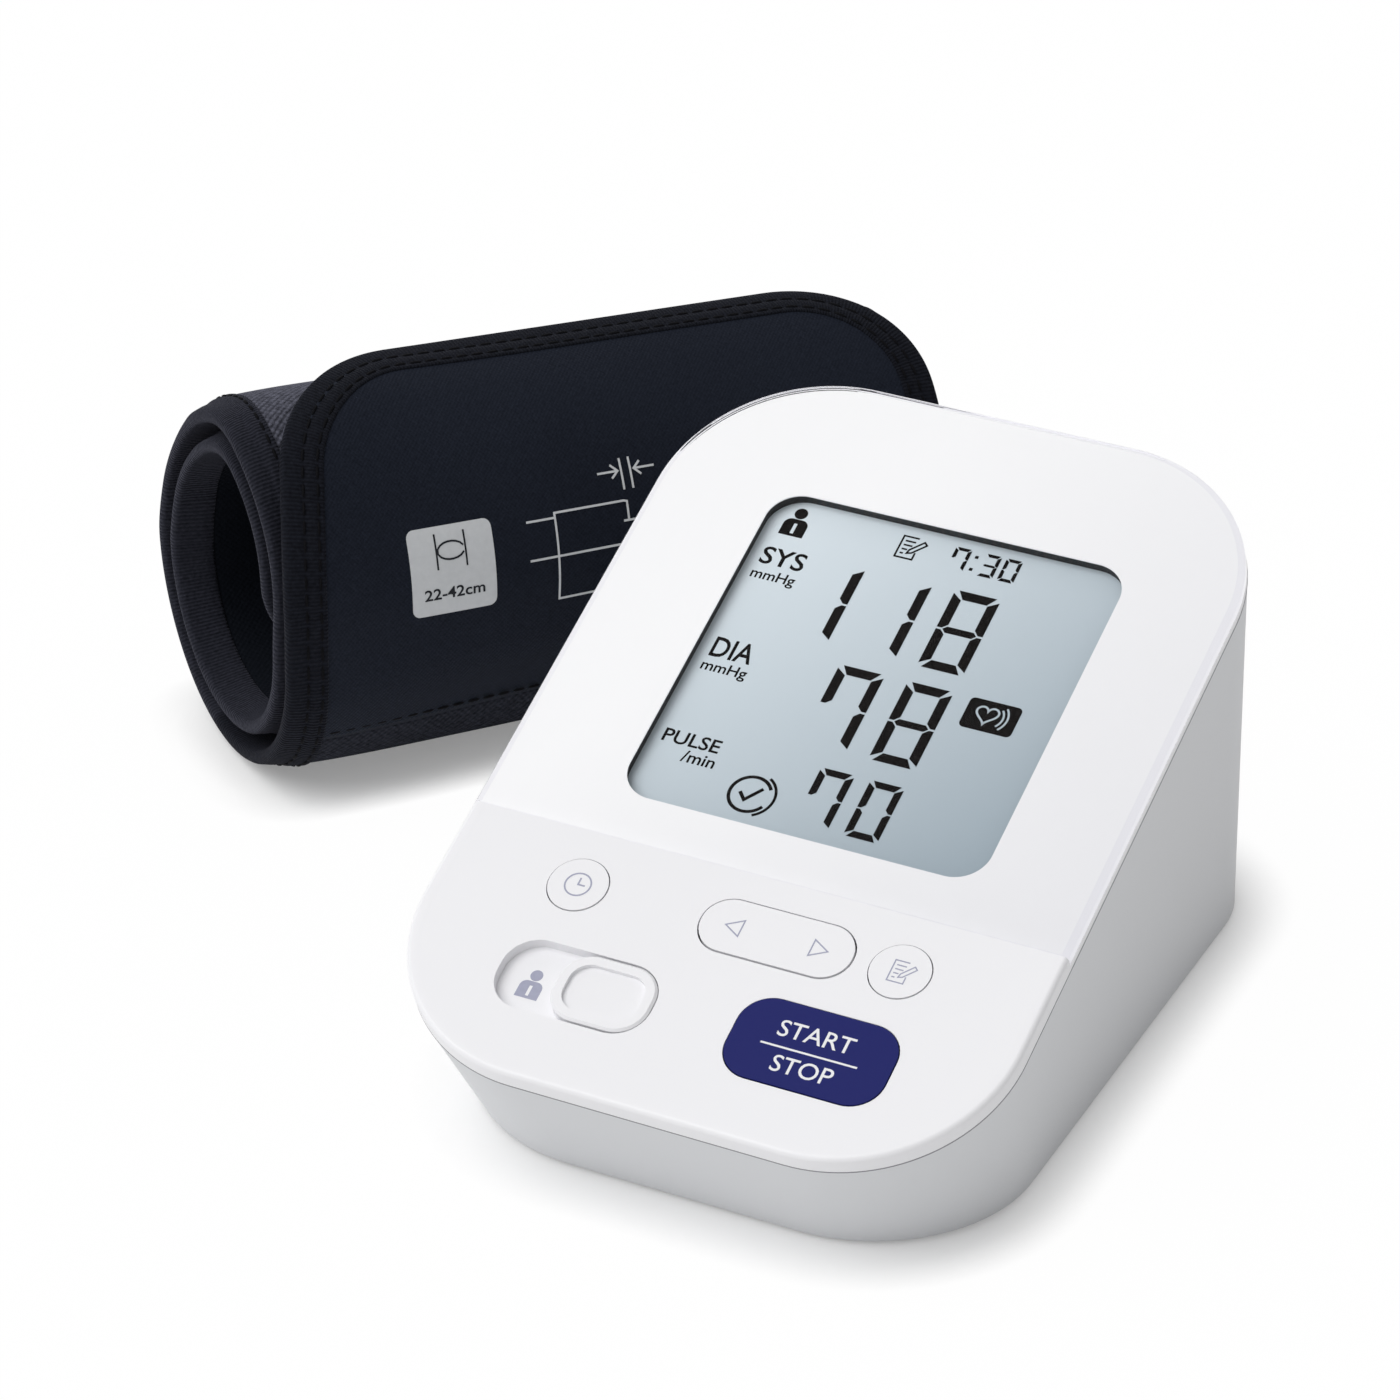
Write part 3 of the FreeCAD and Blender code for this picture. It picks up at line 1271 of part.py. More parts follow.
def strip_outline(stretches, low, high):
    """Closed outline of one layer of the strip, between two offsets from its middle."""

    def point(item, offset, share):
        centre = item.first + (item.last - item.first) * share
        return centre + toward(item.start + (item.stop - item.start) * share) * (item.radius + offset)

    def edge(item, offset, begin, finish):
        ends = point(item, offset, begin), point(item, offset, finish)
        if item.start == item.stop:
            return Part.LineSegment(*ends).toShape()
        return Part.Arc(ends[0], point(item, offset, 0.5), ends[1]).toShape()

    first, last = stretches[0], stretches[-1]
    outer = [edge(item, high, 0, 1) for item in stretches]
    inner = [edge(item, low, 1, 0) for item in reversed(stretches)]
    inner_cap = Part.LineSegment(point(last, high, 1), point(last, low, 1)).toShape()
    outer_cap = Part.LineSegment(point(first, low, 0), point(first, high, 0)).toShape()
    return Part.Wire(outer + [inner_cap] + inner + [outer_cap])


def strip_solid(choose, low, high, margin):
    """Layer of the chosen stretches, ruled from end to end, short of both by a margin."""
    outlines = [
        strip_outline(choose(along), low, high)
        for along in (margin, d.cuff_width.value - margin)
    ]
    return Part.makeLoft(outlines, True, True)


def cuff_node(solid, label):
    """Lays a solid drawn in the roll's own frame beside the case."""
    feature = doc.addObject("Part::Feature", f"{label}_wound")
    feature.Shape = solid
    feature.Placement = cuff_place
    node(feature, label)


def least_gap(stretches):
    """Smallest distance between the strip's outer side and the inner side one turn further out."""
    samples = []
    for order, item in enumerate(stretches):
        for part in range(10):
            share = part / 10
            centre = item.first + (item.last - item.first) * share
            samples.append((order, item.radius, centre, item.start + (item.stop - item.start) * share))
    gaps = [
        (c1 + toward(a1) * (r1 - half_strip)).distanceToPoint(c2 + toward(a2) * (r2 + half_strip))
        for o1, r1, c1, a1 in samples
        for o2, r2, c2, a2 in samples
        if o2 > o1 + 2
    ]
    return min(gaps)


quarters = 9
for along in (0, d.cuff_width.value):
    print(f"wound strip: least gap to itself {least_gap(wound_strip(quarters, along)):.2f} mm")


def flap_stretches(along):
    """Free end: the first quarter turn, which stands off the roll, and the top of the front run."""
    turns = wound_strip(quarters, along)
    loose = Stretch(**vars(turns[0]))
    loose.radius += d.flap_stand_off.value
    loose.first = loose.first - toward(loose.stop) * d.flap_stand_off.value
    loose.last = loose.first
    return [loose, split_run(turns[1], d.flap_hinge_drop.value, d.flap_hinge_gap.value)[0]]


def sleeve_stretches(along):
    """All the rest of the strip, from just below the free end's hinge line."""
    turns = wound_strip(quarters, along)
    return [split_run(turns[1], d.flap_hinge_drop.value, d.flap_hinge_gap.value)[1]] + turns[2:]


def bladder_stretches(along):
    return wound_strip(quarters, along)[2:-3]


def outer_start(run):
    """Where a stretch begins, on the strip's outer surface."""
    return run.first + toward(run.start) * (run.radius + half_strip)


def hinge_point(along):
    """Outer surface where the free end meets the rest."""
    front_run = wound_strip(quarters, along)[1]
    downwards = (front_run.last - front_run.first).normalize()
    return outer_start(front_run) + downwards * d.flap_hinge_drop.value


fabric_inner = half_strip - d.fabric_thickness.value
bladder_half = fabric_inner - d.bladder_clearance.value
hook_face = d.hook_pad_thickness.value - half_strip
cuff_node(strip_solid(sleeve_stretches, fabric_inner, half_strip, 0), "cuff_outer_fabric")
cuff_node(strip_solid(sleeve_stretches, -half_strip, -fabric_inner, 0), "cuff_lining")
cuff_node(strip_solid(bladder_stretches, -bladder_half, bladder_half, d.bladder_margin.value),
          "cuff_bladder")

# The free end was laid on askew and has round corners, seen from above
near_hinge, far_hinge = hinge_point(0), hinge_point(d.cuff_width.value)
near_end, far_end = outer_start(flap_stretches(0)[0]), outer_start(flap_stretches(d.cuff_width.value)[0])
slant = d.flap_skew.value / (near_end.x - near_hinge.x)
before = 2 * near_hinge.x
plan = [
    Vector(before, 0, slant * (before - near_hinge.x)),
    Vector(near_end.x, 0, d.flap_skew.value),
    Vector(far_end.x, 0, far_end.z),
    Vector(before, 0, far_end.z),
]
flap_trim = Part.Face(Part.makePolygon(plan + plan[:1])).extrude(Vector(0, 2 * near_end.y, 0))
for corner, radius in ((plan[1], d.flap_near_corner.value), (plan[2], d.flap_far_corner.value)):
    upright = [
        edge for edge in flap_trim.Edges
        if all(math.hypot(point.X - corner.x, point.Z - corner.z) < 1e-6 for point in edge.Vertexes)
    ]
    flap_trim = flap_trim.makeFillet(radius, upright)
flap_layer = strip_solid(flap_stretches, hook_face, half_strip, 0)
hook_layer = strip_solid(flap_stretches, -half_strip, hook_face, d.hook_pad_margin.value)
cuff_node(flap_layer.common(flap_trim), "cuff_flap")
cuff_node(hook_layer.common(flap_trim), "hook_pad")
for end in (near_hinge, far_hinge):
    spot = cuff_place.multVec(end)
    print(f"free end's hinge line passes {spot.x:.3f}, {spot.y:.3f}, {spot.z:.3f}")

port_along = d.cuff_width.value - d.port_from_end.value
back_run = wound_strip(quarters, port_along)[4]
upwards = back_run.last - back_run.first
port_base = outer_start(back_run) + upwards * 0.5
near_back, far_back = (outer_start(wound_strip(quarters, along)[4]) for along in (0, d.cuff_width.value))
back_line = far_back - near_back
outwards = upwards.cross(back_line).normalize()
port_flange = Part.makeCylinder(d.port_flange.value, d.port_flange_thickness.value, port_base, outwards)
port_length = d.port_flange_thickness.value + d.port_nipple_length.value
port_nipple = Part.makeCylinder(d.port_nipple_radius.value, port_length, port_base, outwards)
port_bore = Part.makeCylinder(d.port_bore.value, port_length, port_base, outwards)
cuff_node(port_flange.fuse(port_nipple).cut(port_bore), "cuff_port")


# Check everything, then write one file for each sub-part

doc.recompute()
for obj in doc.Objects:
    if "Invalid" in obj.State or "Error" in obj.State:
        raise RuntimeError(f"{obj.Name} failed: {obj.State}")
for obj in nodes:
    if obj.Shape.isNull() or not obj.Shape.isValid() or not obj.Shape.Solids:
        raise RuntimeError(f"{obj.Label} has no valid solid")

os.makedirs("parts", exist_ok=True)
for obj in nodes:
    obj.Shape.exportStep(f"parts/{obj.Label}.step")
print(f"{len(nodes)} sub-parts written")
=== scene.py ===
"""Upper arm blood pressure monitor with its cuff wound up beside it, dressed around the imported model."""

import bpy
import numpy as np
from mathutils import Matrix


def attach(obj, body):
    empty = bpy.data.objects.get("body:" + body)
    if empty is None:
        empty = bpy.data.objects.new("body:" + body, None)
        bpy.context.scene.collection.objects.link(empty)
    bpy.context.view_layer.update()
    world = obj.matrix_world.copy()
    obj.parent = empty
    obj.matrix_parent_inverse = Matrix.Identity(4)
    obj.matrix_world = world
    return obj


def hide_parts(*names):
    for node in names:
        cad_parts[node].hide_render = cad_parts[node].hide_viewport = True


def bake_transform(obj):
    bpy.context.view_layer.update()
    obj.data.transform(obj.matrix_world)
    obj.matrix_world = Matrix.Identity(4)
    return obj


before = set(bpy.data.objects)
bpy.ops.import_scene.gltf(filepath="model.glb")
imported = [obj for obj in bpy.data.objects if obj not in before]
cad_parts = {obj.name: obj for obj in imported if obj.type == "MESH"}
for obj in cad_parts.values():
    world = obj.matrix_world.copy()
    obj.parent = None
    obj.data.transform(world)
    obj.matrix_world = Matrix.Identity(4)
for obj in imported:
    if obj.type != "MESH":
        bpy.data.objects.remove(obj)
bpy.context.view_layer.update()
scene = bpy.context.scene
scene.view_settings.view_transform = "Standard"


# Camera
# A long lens to the right of the unit and above it, as the photograph was taken.
# Its angles and distance were fitted to the edges of the case.
azimuth, elevation, roll = np.radians([26.224, 30.52, 0.136])
level_right = np.array([np.cos(azimuth), np.sin(azimuth), 0.0])
backward = np.array([
    np.sin(azimuth) * np.cos(elevation),
    -np.cos(azimuth) * np.cos(elevation),
    np.sin(elevation),
])
level_up = np.cross(backward, level_right)


def set_up(name, data, right, up, back, place=(0.0, 0.0, 0.0)):
    """Camera or lamp at a place, with its own axes turned to the right, up and backward."""
    axes = np.eye(4)
    axes[:3] = np.column_stack([right, up, back, place])
    holder = bpy.data.objects.new(name, data)
    holder.matrix_world = Matrix(axes.tolist())
    scene.collection.objects.link(holder)
    return holder


lens = bpy.data.cameras.new("camera")
lens.lens = 135.08
lens.sensor_width = 36.0
scene.camera = set_up(
    "camera", lens,
    right=np.cos(roll) * level_right + np.sin(roll) * level_up,
    up=np.cos(roll) * level_up - np.sin(roll) * level_right,
    back=backward,
    place=(0.30573, -0.68325, 0.49710),
)


# Table and studio light
# A white table top in an evenly lit pale room, with a wide soft light from the front left and a
# weaker one from behind.
class Tone:
    """One output of a node. Sums, products, sines, steps and limits of it add Math nodes beside it."""

    def __init__(self, socket):
        self.socket = socket

    def math(self, operation, first, second):
        nodes = Nodes(self.socket.id_data)
        return nodes.add("Math", {"operation": operation}, {0: first, 1: second})

    def __add__(self, other):
        return self.math("ADD", self, other)

    def __radd__(self, other):
        return self.math("ADD", other, self)

    def __sub__(self, other):
        return self.math("SUBTRACT", self, other)

    def __rsub__(self, other):
        return self.math("SUBTRACT", other, self)

    def __mul__(self, other):
        return self.math("MULTIPLY", self, other)

    def __rmul__(self, other):
        return self.math("MULTIPLY", other, self)

    def sine(self):
        return self.math("SINE", self, 0.0)

    def above(self, level):
        return self.math("GREATER_THAN", self, level)

    def at_least(self, level):
        return self.math("MAXIMUM", self, level)


class Nodes:
    """A node tree; add() makes any node from its type, its settings and its sockets."""

    def __init__(self, tree):
        self.tree = tree

    def add(self, kind, settings=None, sockets=None, output=0):
        node = self.tree.nodes.new("ShaderNode" + kind)
        for name, value in (settings or {}).items():
            setattr(node, name, value)
        self.feed(node, sockets or {})
        return Tone(node.outputs[output])

    def feed(self, node, sockets):
        for name, value in sockets.items():
            slot = node.inputs[name]
            if isinstance(value, Tone):
                self.tree.links.new(value.socket, slot)
            elif isinstance(value, tuple) and slot.type == "RGBA":
                slot.default_value = (*value, 1.0)
            else:
                slot.default_value = value


room = bpy.data.worlds.new("studio_room")
room.use_nodes = True
scene.world = room
room_nodes = Nodes(room.node_tree)
room_nodes.feed(room.node_tree.nodes["Background"], {"Color": (1.0, 1.0, 1.0), "Strength": 0.41})


def unit(vectors):
    """Vectors of length 1 in the same directions."""
    return vectors / np.linalg.norm(vectors, axis=-1, keepdims=True)


def soft_light(name, toward_light, strength, spread):
    """Even light from one direction, spread over a round patch of sky of that many degrees."""
    lamp = bpy.data.lights.new(name, "SUN")
    lamp.energy = strength
    lamp.angle = np.radians(spread)
    direction = unit(np.array(toward_light))
    across = unit(np.cross((0.0, 0.0, 1.0), direction))
    set_up(name, lamp, across, np.cross(direction, across), direction)


soft_light("key_light", (-0.42, -0.42, 0.80), 1.80, 50)
soft_light("back_light", (-0.55, 0.70, 0.55), 0.50, 50)


def surface(name, points, faces, finishes, crease=None):
    """Object of a mesh from points in millimetres, lists of corner numbers and its finishes.

    With a crease it is shaded smooth, apart from edges that bend by more than so many degrees.
    """
    mesh = bpy.data.meshes.new(name)
    mesh.from_pydata((np.asarray(points).reshape(-1, 3) * 0.001).tolist(), [], faces)
    mesh.update()
    for finish in finishes:
        mesh.materials.append(finish.material)
    if crease is not None:
        mesh.polygons.foreach_set("use_smooth", np.ones(len(faces), bool))
        mesh.set_sharp_from_angle(angle=np.radians(crease))
    piece = bpy.data.objects.new(name, mesh)
    scene.collection.objects.link(piece)
    return piece


class Finish(Nodes):
    """Material with one principled shader; plain sockets are set, others are fed from nodes."""

    def __init__(self, name, sockets):
        self.material = bpy.data.materials.new(name)
        self.material.use_nodes = True
        super().__init__(self.material.node_tree)
        self.shader = self.tree.nodes["Principled BSDF"]
        self.feed(self.shader, sockets)
        self.place = self.add("TexCoord", output="Object")

    def part(self, axis, vector=None):
        """One coordinate of a place, X, Y or Z; the piece's own where no other is given."""
        return self.add("SeparateXYZ", None, {"Vector": vector or self.place}, axis)

    def noise(self, scale, detail=2.0):
        """Cloudy noise on the piece's own coordinates, with so many cells to a metre."""
        return self.add("TexNoise", None, {"Vector": self.place, "Scale": scale, "Detail": detail})

    def between(self, share, low, high):
        """Colour that goes from low to high with a share from 0 to 1."""
        return self.add("Mix", {"data_type": "RGBA"}, {0: share, 6: low, 7: high}, 2)

    def bump(self, height, strength, distance):
        """Normal of a surface that stands out by height times distance in metres."""
        return self.add("Bump", None, {"Height": height, "Strength": strength, "Distance": distance})

    def blend_with(self, other, share):
        """Shows another shader in place of the principled one, by a share from 0 to 1."""
        principled = Tone(self.shader.outputs[0])
        mixed = self.add("MixShader", None, {0: share, 1: principled, 2: other})
        self.tree.links.new(mixed.socket, self.tree.nodes["Material Output"].inputs["Surface"])

    def look(self, **sockets):
        """Feeds shader sockets, named in lower case with underscores."""
        names = {slot.name.lower().replace(" ", "_"): slot.name for slot in self.shader.inputs}
        self.feed(self.shader, {names[key]: value for key, value in sockets.items()})


table_finish = Finish("white_table", {"Roughness": 0.6, "Specular IOR Level": 0.2})
table_cloud = table_finish.noise(3.0)
table_finish.look(base_color=table_finish.between(table_cloud, (0.94, 0.94, 0.94), (0.96, 0.96, 0.96)))
# Where it is looked at, the table is plain white, by a share that falls off close to the object
seen_rays = ("Is Camera Ray", "Is Glossy Ray", "Is Transmission Ray")
looked_at = sum(table_finish.add("LightPath", output=ray) for ray in seen_rays)
paper_white = table_finish.add("Emission", None, {"Color": (1.0, 1.0, 1.0), "Strength": 1.0})
shadow_reach, shadow_slope, shadow_start, least_white = 0.011, 1.70, 0.72, 0.24
open_sky = table_finish.add("AmbientOcclusion", {"samples": 6}, {"Distance": shadow_reach}, "AO")
white_share = (shadow_slope * open_sky - shadow_start).at_least(least_white)
table_finish.blend_with(paper_white, white_share * looked_at)
table_level, table_half = -0.8, 4000.0
table_corners = np.array([[-1, -1], [1, -1], [1, 1], [-1, 1]]) * table_half
table_points = np.column_stack([table_corners, np.full(4, table_level)])
table = surface("table", table_points, [(0, 1, 2, 3)], [table_finish])


# Case shells
# Two injection moulded halves, screwed together from below: a light grey tub with a fine spark
# eroded texture and a white satin lid that carries the buttons.
def dress(finish, *names):
    """Gives every material slot of the named CAD nodes one finish."""
    for name in names:
        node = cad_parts[name]
        if not node.material_slots:
            node.data.materials.append(finish.material)
        for slot in node.material_slots:
            slot.material = finish.material


def moulded(name, colour, roughness, grain, depth, shine=0.45):
    """Moulded plastic: slight colour drift, spark eroded grain of so many cells to a metre."""
    finish = Finish(name, {"Specular IOR Level": shine})
    drift = finish.noise(18.0)
    cloud = finish.noise(grain, 3.0)
    darker = tuple(0.965 * value for value in colour)
    finish.look(
        base_color=finish.between(drift, darker, colour),
        roughness=roughness - 0.06 + 0.12 * cloud,
        normal=finish.bump(cloud, 0.35, depth),
    )
    return finish


grey_shell = moulded("grey_shell", (0.70, 0.71, 0.73), 0.50, 2600.0, 0.00006)
white_shell = moulded("white_shell", (0.885, 0.883, 0.905), 0.36, 3200.0, 0.00002)
dress(grey_shell, "lower_case")
dress(white_shell, "upper_case")


# Display window and printed film
# A clear acrylic panel glued over the upper part of the lid, with both flat faces coated so that they
# mirror little, and under it a thin film printed white from behind, open over the display.
tilt = np.radians(22.86)
seam_y, seam_z = -39.0, 43.77


def on_face(u, v, w):
    """Point at u across the face, v up the slope from the seam and w out of it."""
    u, v, w = np.broadcast_arrays(*(np.asarray(value, float) for value in (u, v, w)))
    y = seam_y + v * np.cos(tilt) - w * np.sin(tilt)
    z = seam_z + v * np.sin(tilt) + w * np.cos(tilt)
    return np.stack([u, y, z], axis=-1)


def circle(centre, radius, start=0.0, stop=360.0, count=48):
    """Points on an arc from one angle to another, in degrees."""
    angles = np.radians(np.linspace(start, stop, count, endpoint=stop - start < 360))
    return np.column_stack([np.cos(angles), np.sin(angles)]) * radius + centre


def rounded(centre, width, height, radius, count=8, grown=0.0):
    """Rectangle with round corners, anticlockwise from the right hand side, and grown all round."""
    corners = []
    for start, x, y in ((0, 1, 1), (90, -1, 1), (180, -1, -1), (270, 1, -1)):
        middle = np.array([x * (width / 2 - radius), y * (height / 2 - radius)]) + centre
        corners.append(circle(middle, radius + grown, start, start + 90, count))
    return np.concatenate(corners)


face_shape = ((0.0, 27.0), 106.0, 149.6, 29.0)
corner_points = 32
seam_gap = 0.08
window_edge = 0.9


def face_outline(inset):
    """Outline of the whole face, drawn in by an inset."""
    return rounded(*face_shape, corner_points, -inset)


def tube_faces(rows, count, ring=False):
    """Faces of rows of points that each close on themselves: a tube with two caps, or a closed ring."""
    row = np.arange(rows if ring else rows - 1)[:, None]
    here = np.arange(count)
    after = (here + 1) % count
    start, later = row * count, (row + 1) % rows * count
    faces = np.stack([start + here, start + after, later + after, later + here], -1)
    caps = [] if ring else [range(count)[::-1], range((rows - 1) * count, rows * count)]
    return faces.reshape(-1, 4).tolist() + caps


def swept(name, lines, levels, finishes, ring=False, crease=None):
    """Piece on the face, from rows of places that each close on themselves and from their levels."""
    points = on_face(lines[..., 0], lines[..., 1], levels)
    return surface(name, points, tube_faces(*lines.shape[:2], ring), finishes, crease)


def clear(name, tint, index):
    """Clear acrylic with a tint and a refractive index, which lets the lamps' light through."""
    finish = Finish(name, {"Base Color": tint, "Roughness": 0.0, "IOR": index, "Transmission Weight": 1.0})
    lamp_way = finish.add("BsdfTransparent", None, {"Color": (0.99, 0.99, 0.995)})
    from_film = finish.add("LightPath", output="Is Diffuse Ray")
    finish.blend_with(lamp_way, finish.add("LightPath", output="Is Shadow Ray") + from_film)
    return finish


edge_round = circle((window_edge, -window_edge), window_edge, 90, 180, 10)
window_rows = np.concatenate([
    [(0.5, -2.0), (0.04, -2.0), (0.0, -1.96)],
    edge_round[::-1],
    [(window_edge + 0.4, 0.0)],
])
window_outlines = np.array([face_outline(inset) for inset, _ in window_rows])
seam_lean = 0.06
window_seam = seam_gap + seam_lean * window_rows[:, :1]
window_outlines[..., 1] = np.maximum(window_outlines[..., 1], window_seam)
edge_crease = 35.0
panel_edge_finish = clear("clear_panel", (0.90, 0.895, 0.945), 1.44)
panel_face_finish = clear("coated_panel_face", (0.995, 0.995, 1.0), 1.14)
panel_finishes = [panel_edge_finish, panel_face_finish]
window = swept("clear_window", window_outlines, window_rows[:, 1:], panel_finishes, crease=edge_crease)
for flat_face in window.data.polygons[-2:]:
    flat_face.material_index = 1


def band(outer, inner):
    """Flat shape between two closed outlines of the same number of points."""
    count = len(outer)
    first = np.arange(count)
    second = (first + 1) % count
    faces = np.column_stack([first, second, second + count, first + count])
    return np.concatenate([outer, inner]), faces.tolist()


def carried(piece, body):
    """Piece that moves with a body."""
    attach(piece, body)


ink_thick = 0.03


def inked(name, shape, placed, finish, thick=ink_thick):
    """Flat shape laid on a surface as a film of ink, which reaches down into what carries it."""
    points, faces = shape
    piece = surface(name, placed(points[:, 0], points[:, 1]), faces, [finish])
    depth = piece.modifiers.new("thickness", "SOLIDIFY")
    depth.thickness = thick * 0.001
    depth.offset = -1.0
    return piece


def printed(name, shape, level, finish, body, thick=ink_thick):
    """Ink or film at one level out of the face, which moves with a body."""
    piece = inked(name, shape, lambda x, y: on_face(x, y, level), finish, thick)
    carried(piece, body)
    return piece


film_finish = Finish("printed_film", {"Specular IOR Level": 0.3, "Roughness": 0.45})
# Painted shade: its white gets darker to the lower right, the way the light falling on it does
film_painted_shade = film_finish.part("Y") * 5.2 - film_finish.part("X") * 9.9 + 0.62 + 0.1 * film_finish.noise(40.0)
film_finish.look(base_color=film_finish.between(film_painted_shade, (0.815, 0.815, 0.835), (0.95, 0.95, 0.955)))
film_outer = face_outline(0.15)
film_outer[:, 1] = np.maximum(film_outer[:, 1], seam_gap)
opening_shape = ((0.6, 43.55), 65.0, 67.3, 6.0)
film_inner = rounded(*opening_shape, corner_points)
film_level, film_thick = -1.97, 0.2
film = printed("printed_film", band(film_outer, film_inner), film_level, film_finish, "case",
               film_thick)
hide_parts("display_mask")
carried(window, "case")
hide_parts("display_window")


# Display rim
# The wall that the display's holder has round the opening: black moulded plastic, seen edge on between
# the film and the cell, a little behind the film's own edge.
rim_finish = moulded("black_moulding", (0.012, 0.012, 0.013), 0.55, 2600.0, 0.00003)
rim_gap, rim_wall, rim_top, rim_foot = 0.35, 0.6, -2.25, -4.18
rim_rows = np.array([(rim_wall, rim_top), (rim_wall, rim_foot), (0.0, rim_foot), (0.0, rim_top)])
rim_lines = np.stack([rounded(*opening_shape, 12, rim_gap + reach) for reach, _ in rim_rows], 1)
rim = swept("display_rim", rim_lines, rim_rows[:, 1], [rim_finish], ring=True)
carried(rim, "case")


# Display cell and its segments
# A reflective liquid crystal cell on its holder: blue grey behind, with black segments that
# stand a hair above it. The readings and the marks are those of a finished measurement.
cell_finish = Finish("display_cell", {"Specular IOR Level": 0.2, "Roughness": 0.28})
# Painted shade: it gets darker to the lower right, as the film does
cell_painted_shade = cell_finish.part("Y") * 6.5 - cell_finish.part("X") * 8.0 + 0.52
grit = cell_finish.noise(5200.0, 1.0)
pale = cell_finish.between(cell_painted_shade, (0.29, 0.36, 0.41), (0.79, 0.87, 0.91))
cell_finish.look(base_color=cell_finish.between(grit * 0.16, pale, (0.36, 0.43, 0.47)))
dress(cell_finish, "lcd_glass")


def joined(shapes):
    """Several flat shapes as one: points in a row, faces renumbered to match."""
    points, faces, count = [], [], 0
    for shape_points, shape_faces in shapes:
        points.append(np.asarray(shape_points, float))
        faces += [tuple(corner + count for corner in face) for face in shape_faces]
        count += len(shape_points)
    return np.concatenate(points), faces


def patch(outline):
    """Flat shape filled inside one closed outline."""
    return np.asarray(outline, float), [range(len(outline))]


def square_to(vectors):
    """Flat vectors turned by a quarter turn to the left."""
    return np.column_stack([-vectors[:, 1], vectors[:, 0]])


def stroke(points, width, closed=False):
    """Ribbon of one width along a line; each corner is mitred by the bisector of its two sides."""
    points = np.asarray(points, float)
    before, after = points[-1:], points[:1]
    if not closed:
        before, after = 2 * points[:1] - points[1:2], 2 * points[-1:] - points[-2:-1]
    sides = unit(np.diff(np.concatenate([before, points, after]), axis=0))
    sideways = unit(square_to(sides[:-1] + sides[1:]))
    sharpest = 0.4
    reach = width / 2 / np.clip((sideways * square_to(sides[1:])).sum(1), sharpest, 1)
    left = points + sideways * reach[:, None]
    right = points - sideways * reach[:, None]
    if closed:
        return band(right, left)
    count = len(points)
    faces = [(step, step + 1, step + 1 + count, step + count) for step in range(count - 1)]
    return np.concatenate([right, left]), faces


def lettering(words, left, base, width, height, weight=0.012):
    """Flat words, stretched to a width and to the height from the lowest to the highest point."""
    curve = bpy.data.curves.new("words", "FONT")
    curve.body = words
    curve.resolution_u = 4
    curve.offset = weight
    holder = bpy.data.objects.new("words", curve)
    scene.collection.objects.link(holder)
    mesh = bpy.data.meshes.new_from_object(holder.evaluated_get(bpy.context.evaluated_depsgraph_get()))
    points = np.empty(len(mesh.vertices) * 3)
    mesh.vertices.foreach_get("co", points)
    faces = [tuple(face.vertices) for face in mesh.polygons]
    bpy.data.objects.remove(holder)
    bpy.data.curves.remove(curve)
    bpy.data.meshes.remove(mesh)
    points = points.reshape(-1, 3)[:, :2]
    low, high = points.min(0), points.max(0)
    return (points - low) / (high - low) * (width, height) + (left, base), faces


def segments(figure, left, base, width, height, thick):
    """Seven segment figure: bars with slanted ends, a small gap apart, mirrored about its middle."""
    gap, snip, half = 0.12 * thick, 0.30 * thick, thick / 2
    x, y = width / 2, height / 2
    level = [(snip + gap - x, y), (x - snip - gap, y),
             (x - thick - gap, y - thick), (thick + gap - x, y - thick)]
    upright = [(x, y - snip - gap), (x, gap), (x - half, gap), (x - thick, half + gap),
               (x - thick, y - thick - gap)]
    bridge = [(half + gap - x, 0), (thick - x, gap - half), (x - thick, gap - half),
              (x - half - gap, 0), (x - thick, half - gap), (thick - x, half - gap)]
    bars = {"a": (level, 1, 1), "b": (upright, 1, 1), "c": (upright, 1, -1), "d": (level, 1, -1),
            "e": (upright, -1, -1), "f": (upright, -1, 1), "g": (bridge, 1, 1)}
    lit = {"0": "abcdef", "1": "bc", "3": "abcdg", "7": "abcf", "8": "abcdefg"}[figure]
    shapes = []
    for bar, across, up in (bars[name] for name in lit):
        outline = np.array(bar) * (across, up) + (left + x, base + y)
        shapes.append(patch(outline[::across * up]))
    return joined(shapes)


def user_mark(centre, height):
    """Head and shoulders of the user sign, with a plain 1 left open in the chest."""
    body = rounded((0, -0.20), 0.72, 0.60, 0.22)
    low = body[:, 1] < -0.2
    body[low] = np.sign(body[low]) * (0.36, 0) + (0, -0.5)
    figure = rounded((0, -0.23), 0.10, 0.36, 0.01)
    points, faces = joined([patch(circle((0, 0.31), 0.19)), band(body, figure)])
    return points * height + centre, faces


def notes_mark(centre, size, line):
    """Sheet of paper with written lines and a pencil across its right side."""
    lines = [
        [(2.2, 4.6), (-3.4, 4.6), (-3.4, -4.6), (3.0, -4.6), (3.0, -1.6)],
        [(-2.2, 2.7), (1.6, 2.7)],
        [(-2.2, 0.9), (1.0, 0.9)],
        [(-2.2, -0.9), (-0.2, -0.9)],
        [(-2.2, -2.7), (-1.0, -2.7)],
    ]
    pencil = [(0.2, -2.4), (0.6, -0.8), (4.6, 3.6), (5.8, 2.5), (1.8, -1.9)]
    strokes = [stroke(np.array(points) * size / 10 + centre, line) for points in lines]
    return joined(strokes + [stroke(np.array(pencil) * size / 10 + centre, line, True)])


def heart(centre, size, count=40):
    """Heart outline: two lobes and a point, from one closed curve of sines."""
    turn = np.linspace(0, 2 * np.pi, count, endpoint=False)
    x = 16 * np.sin(turn) ** 3
    y = 13 * np.cos(turn) - 5 * np.cos(2 * turn) - 2 * np.cos(3 * turn) - np.cos(4 * turn)
    return np.column_stack([x, y + 2.5])[::-1] * size / 32 + centre


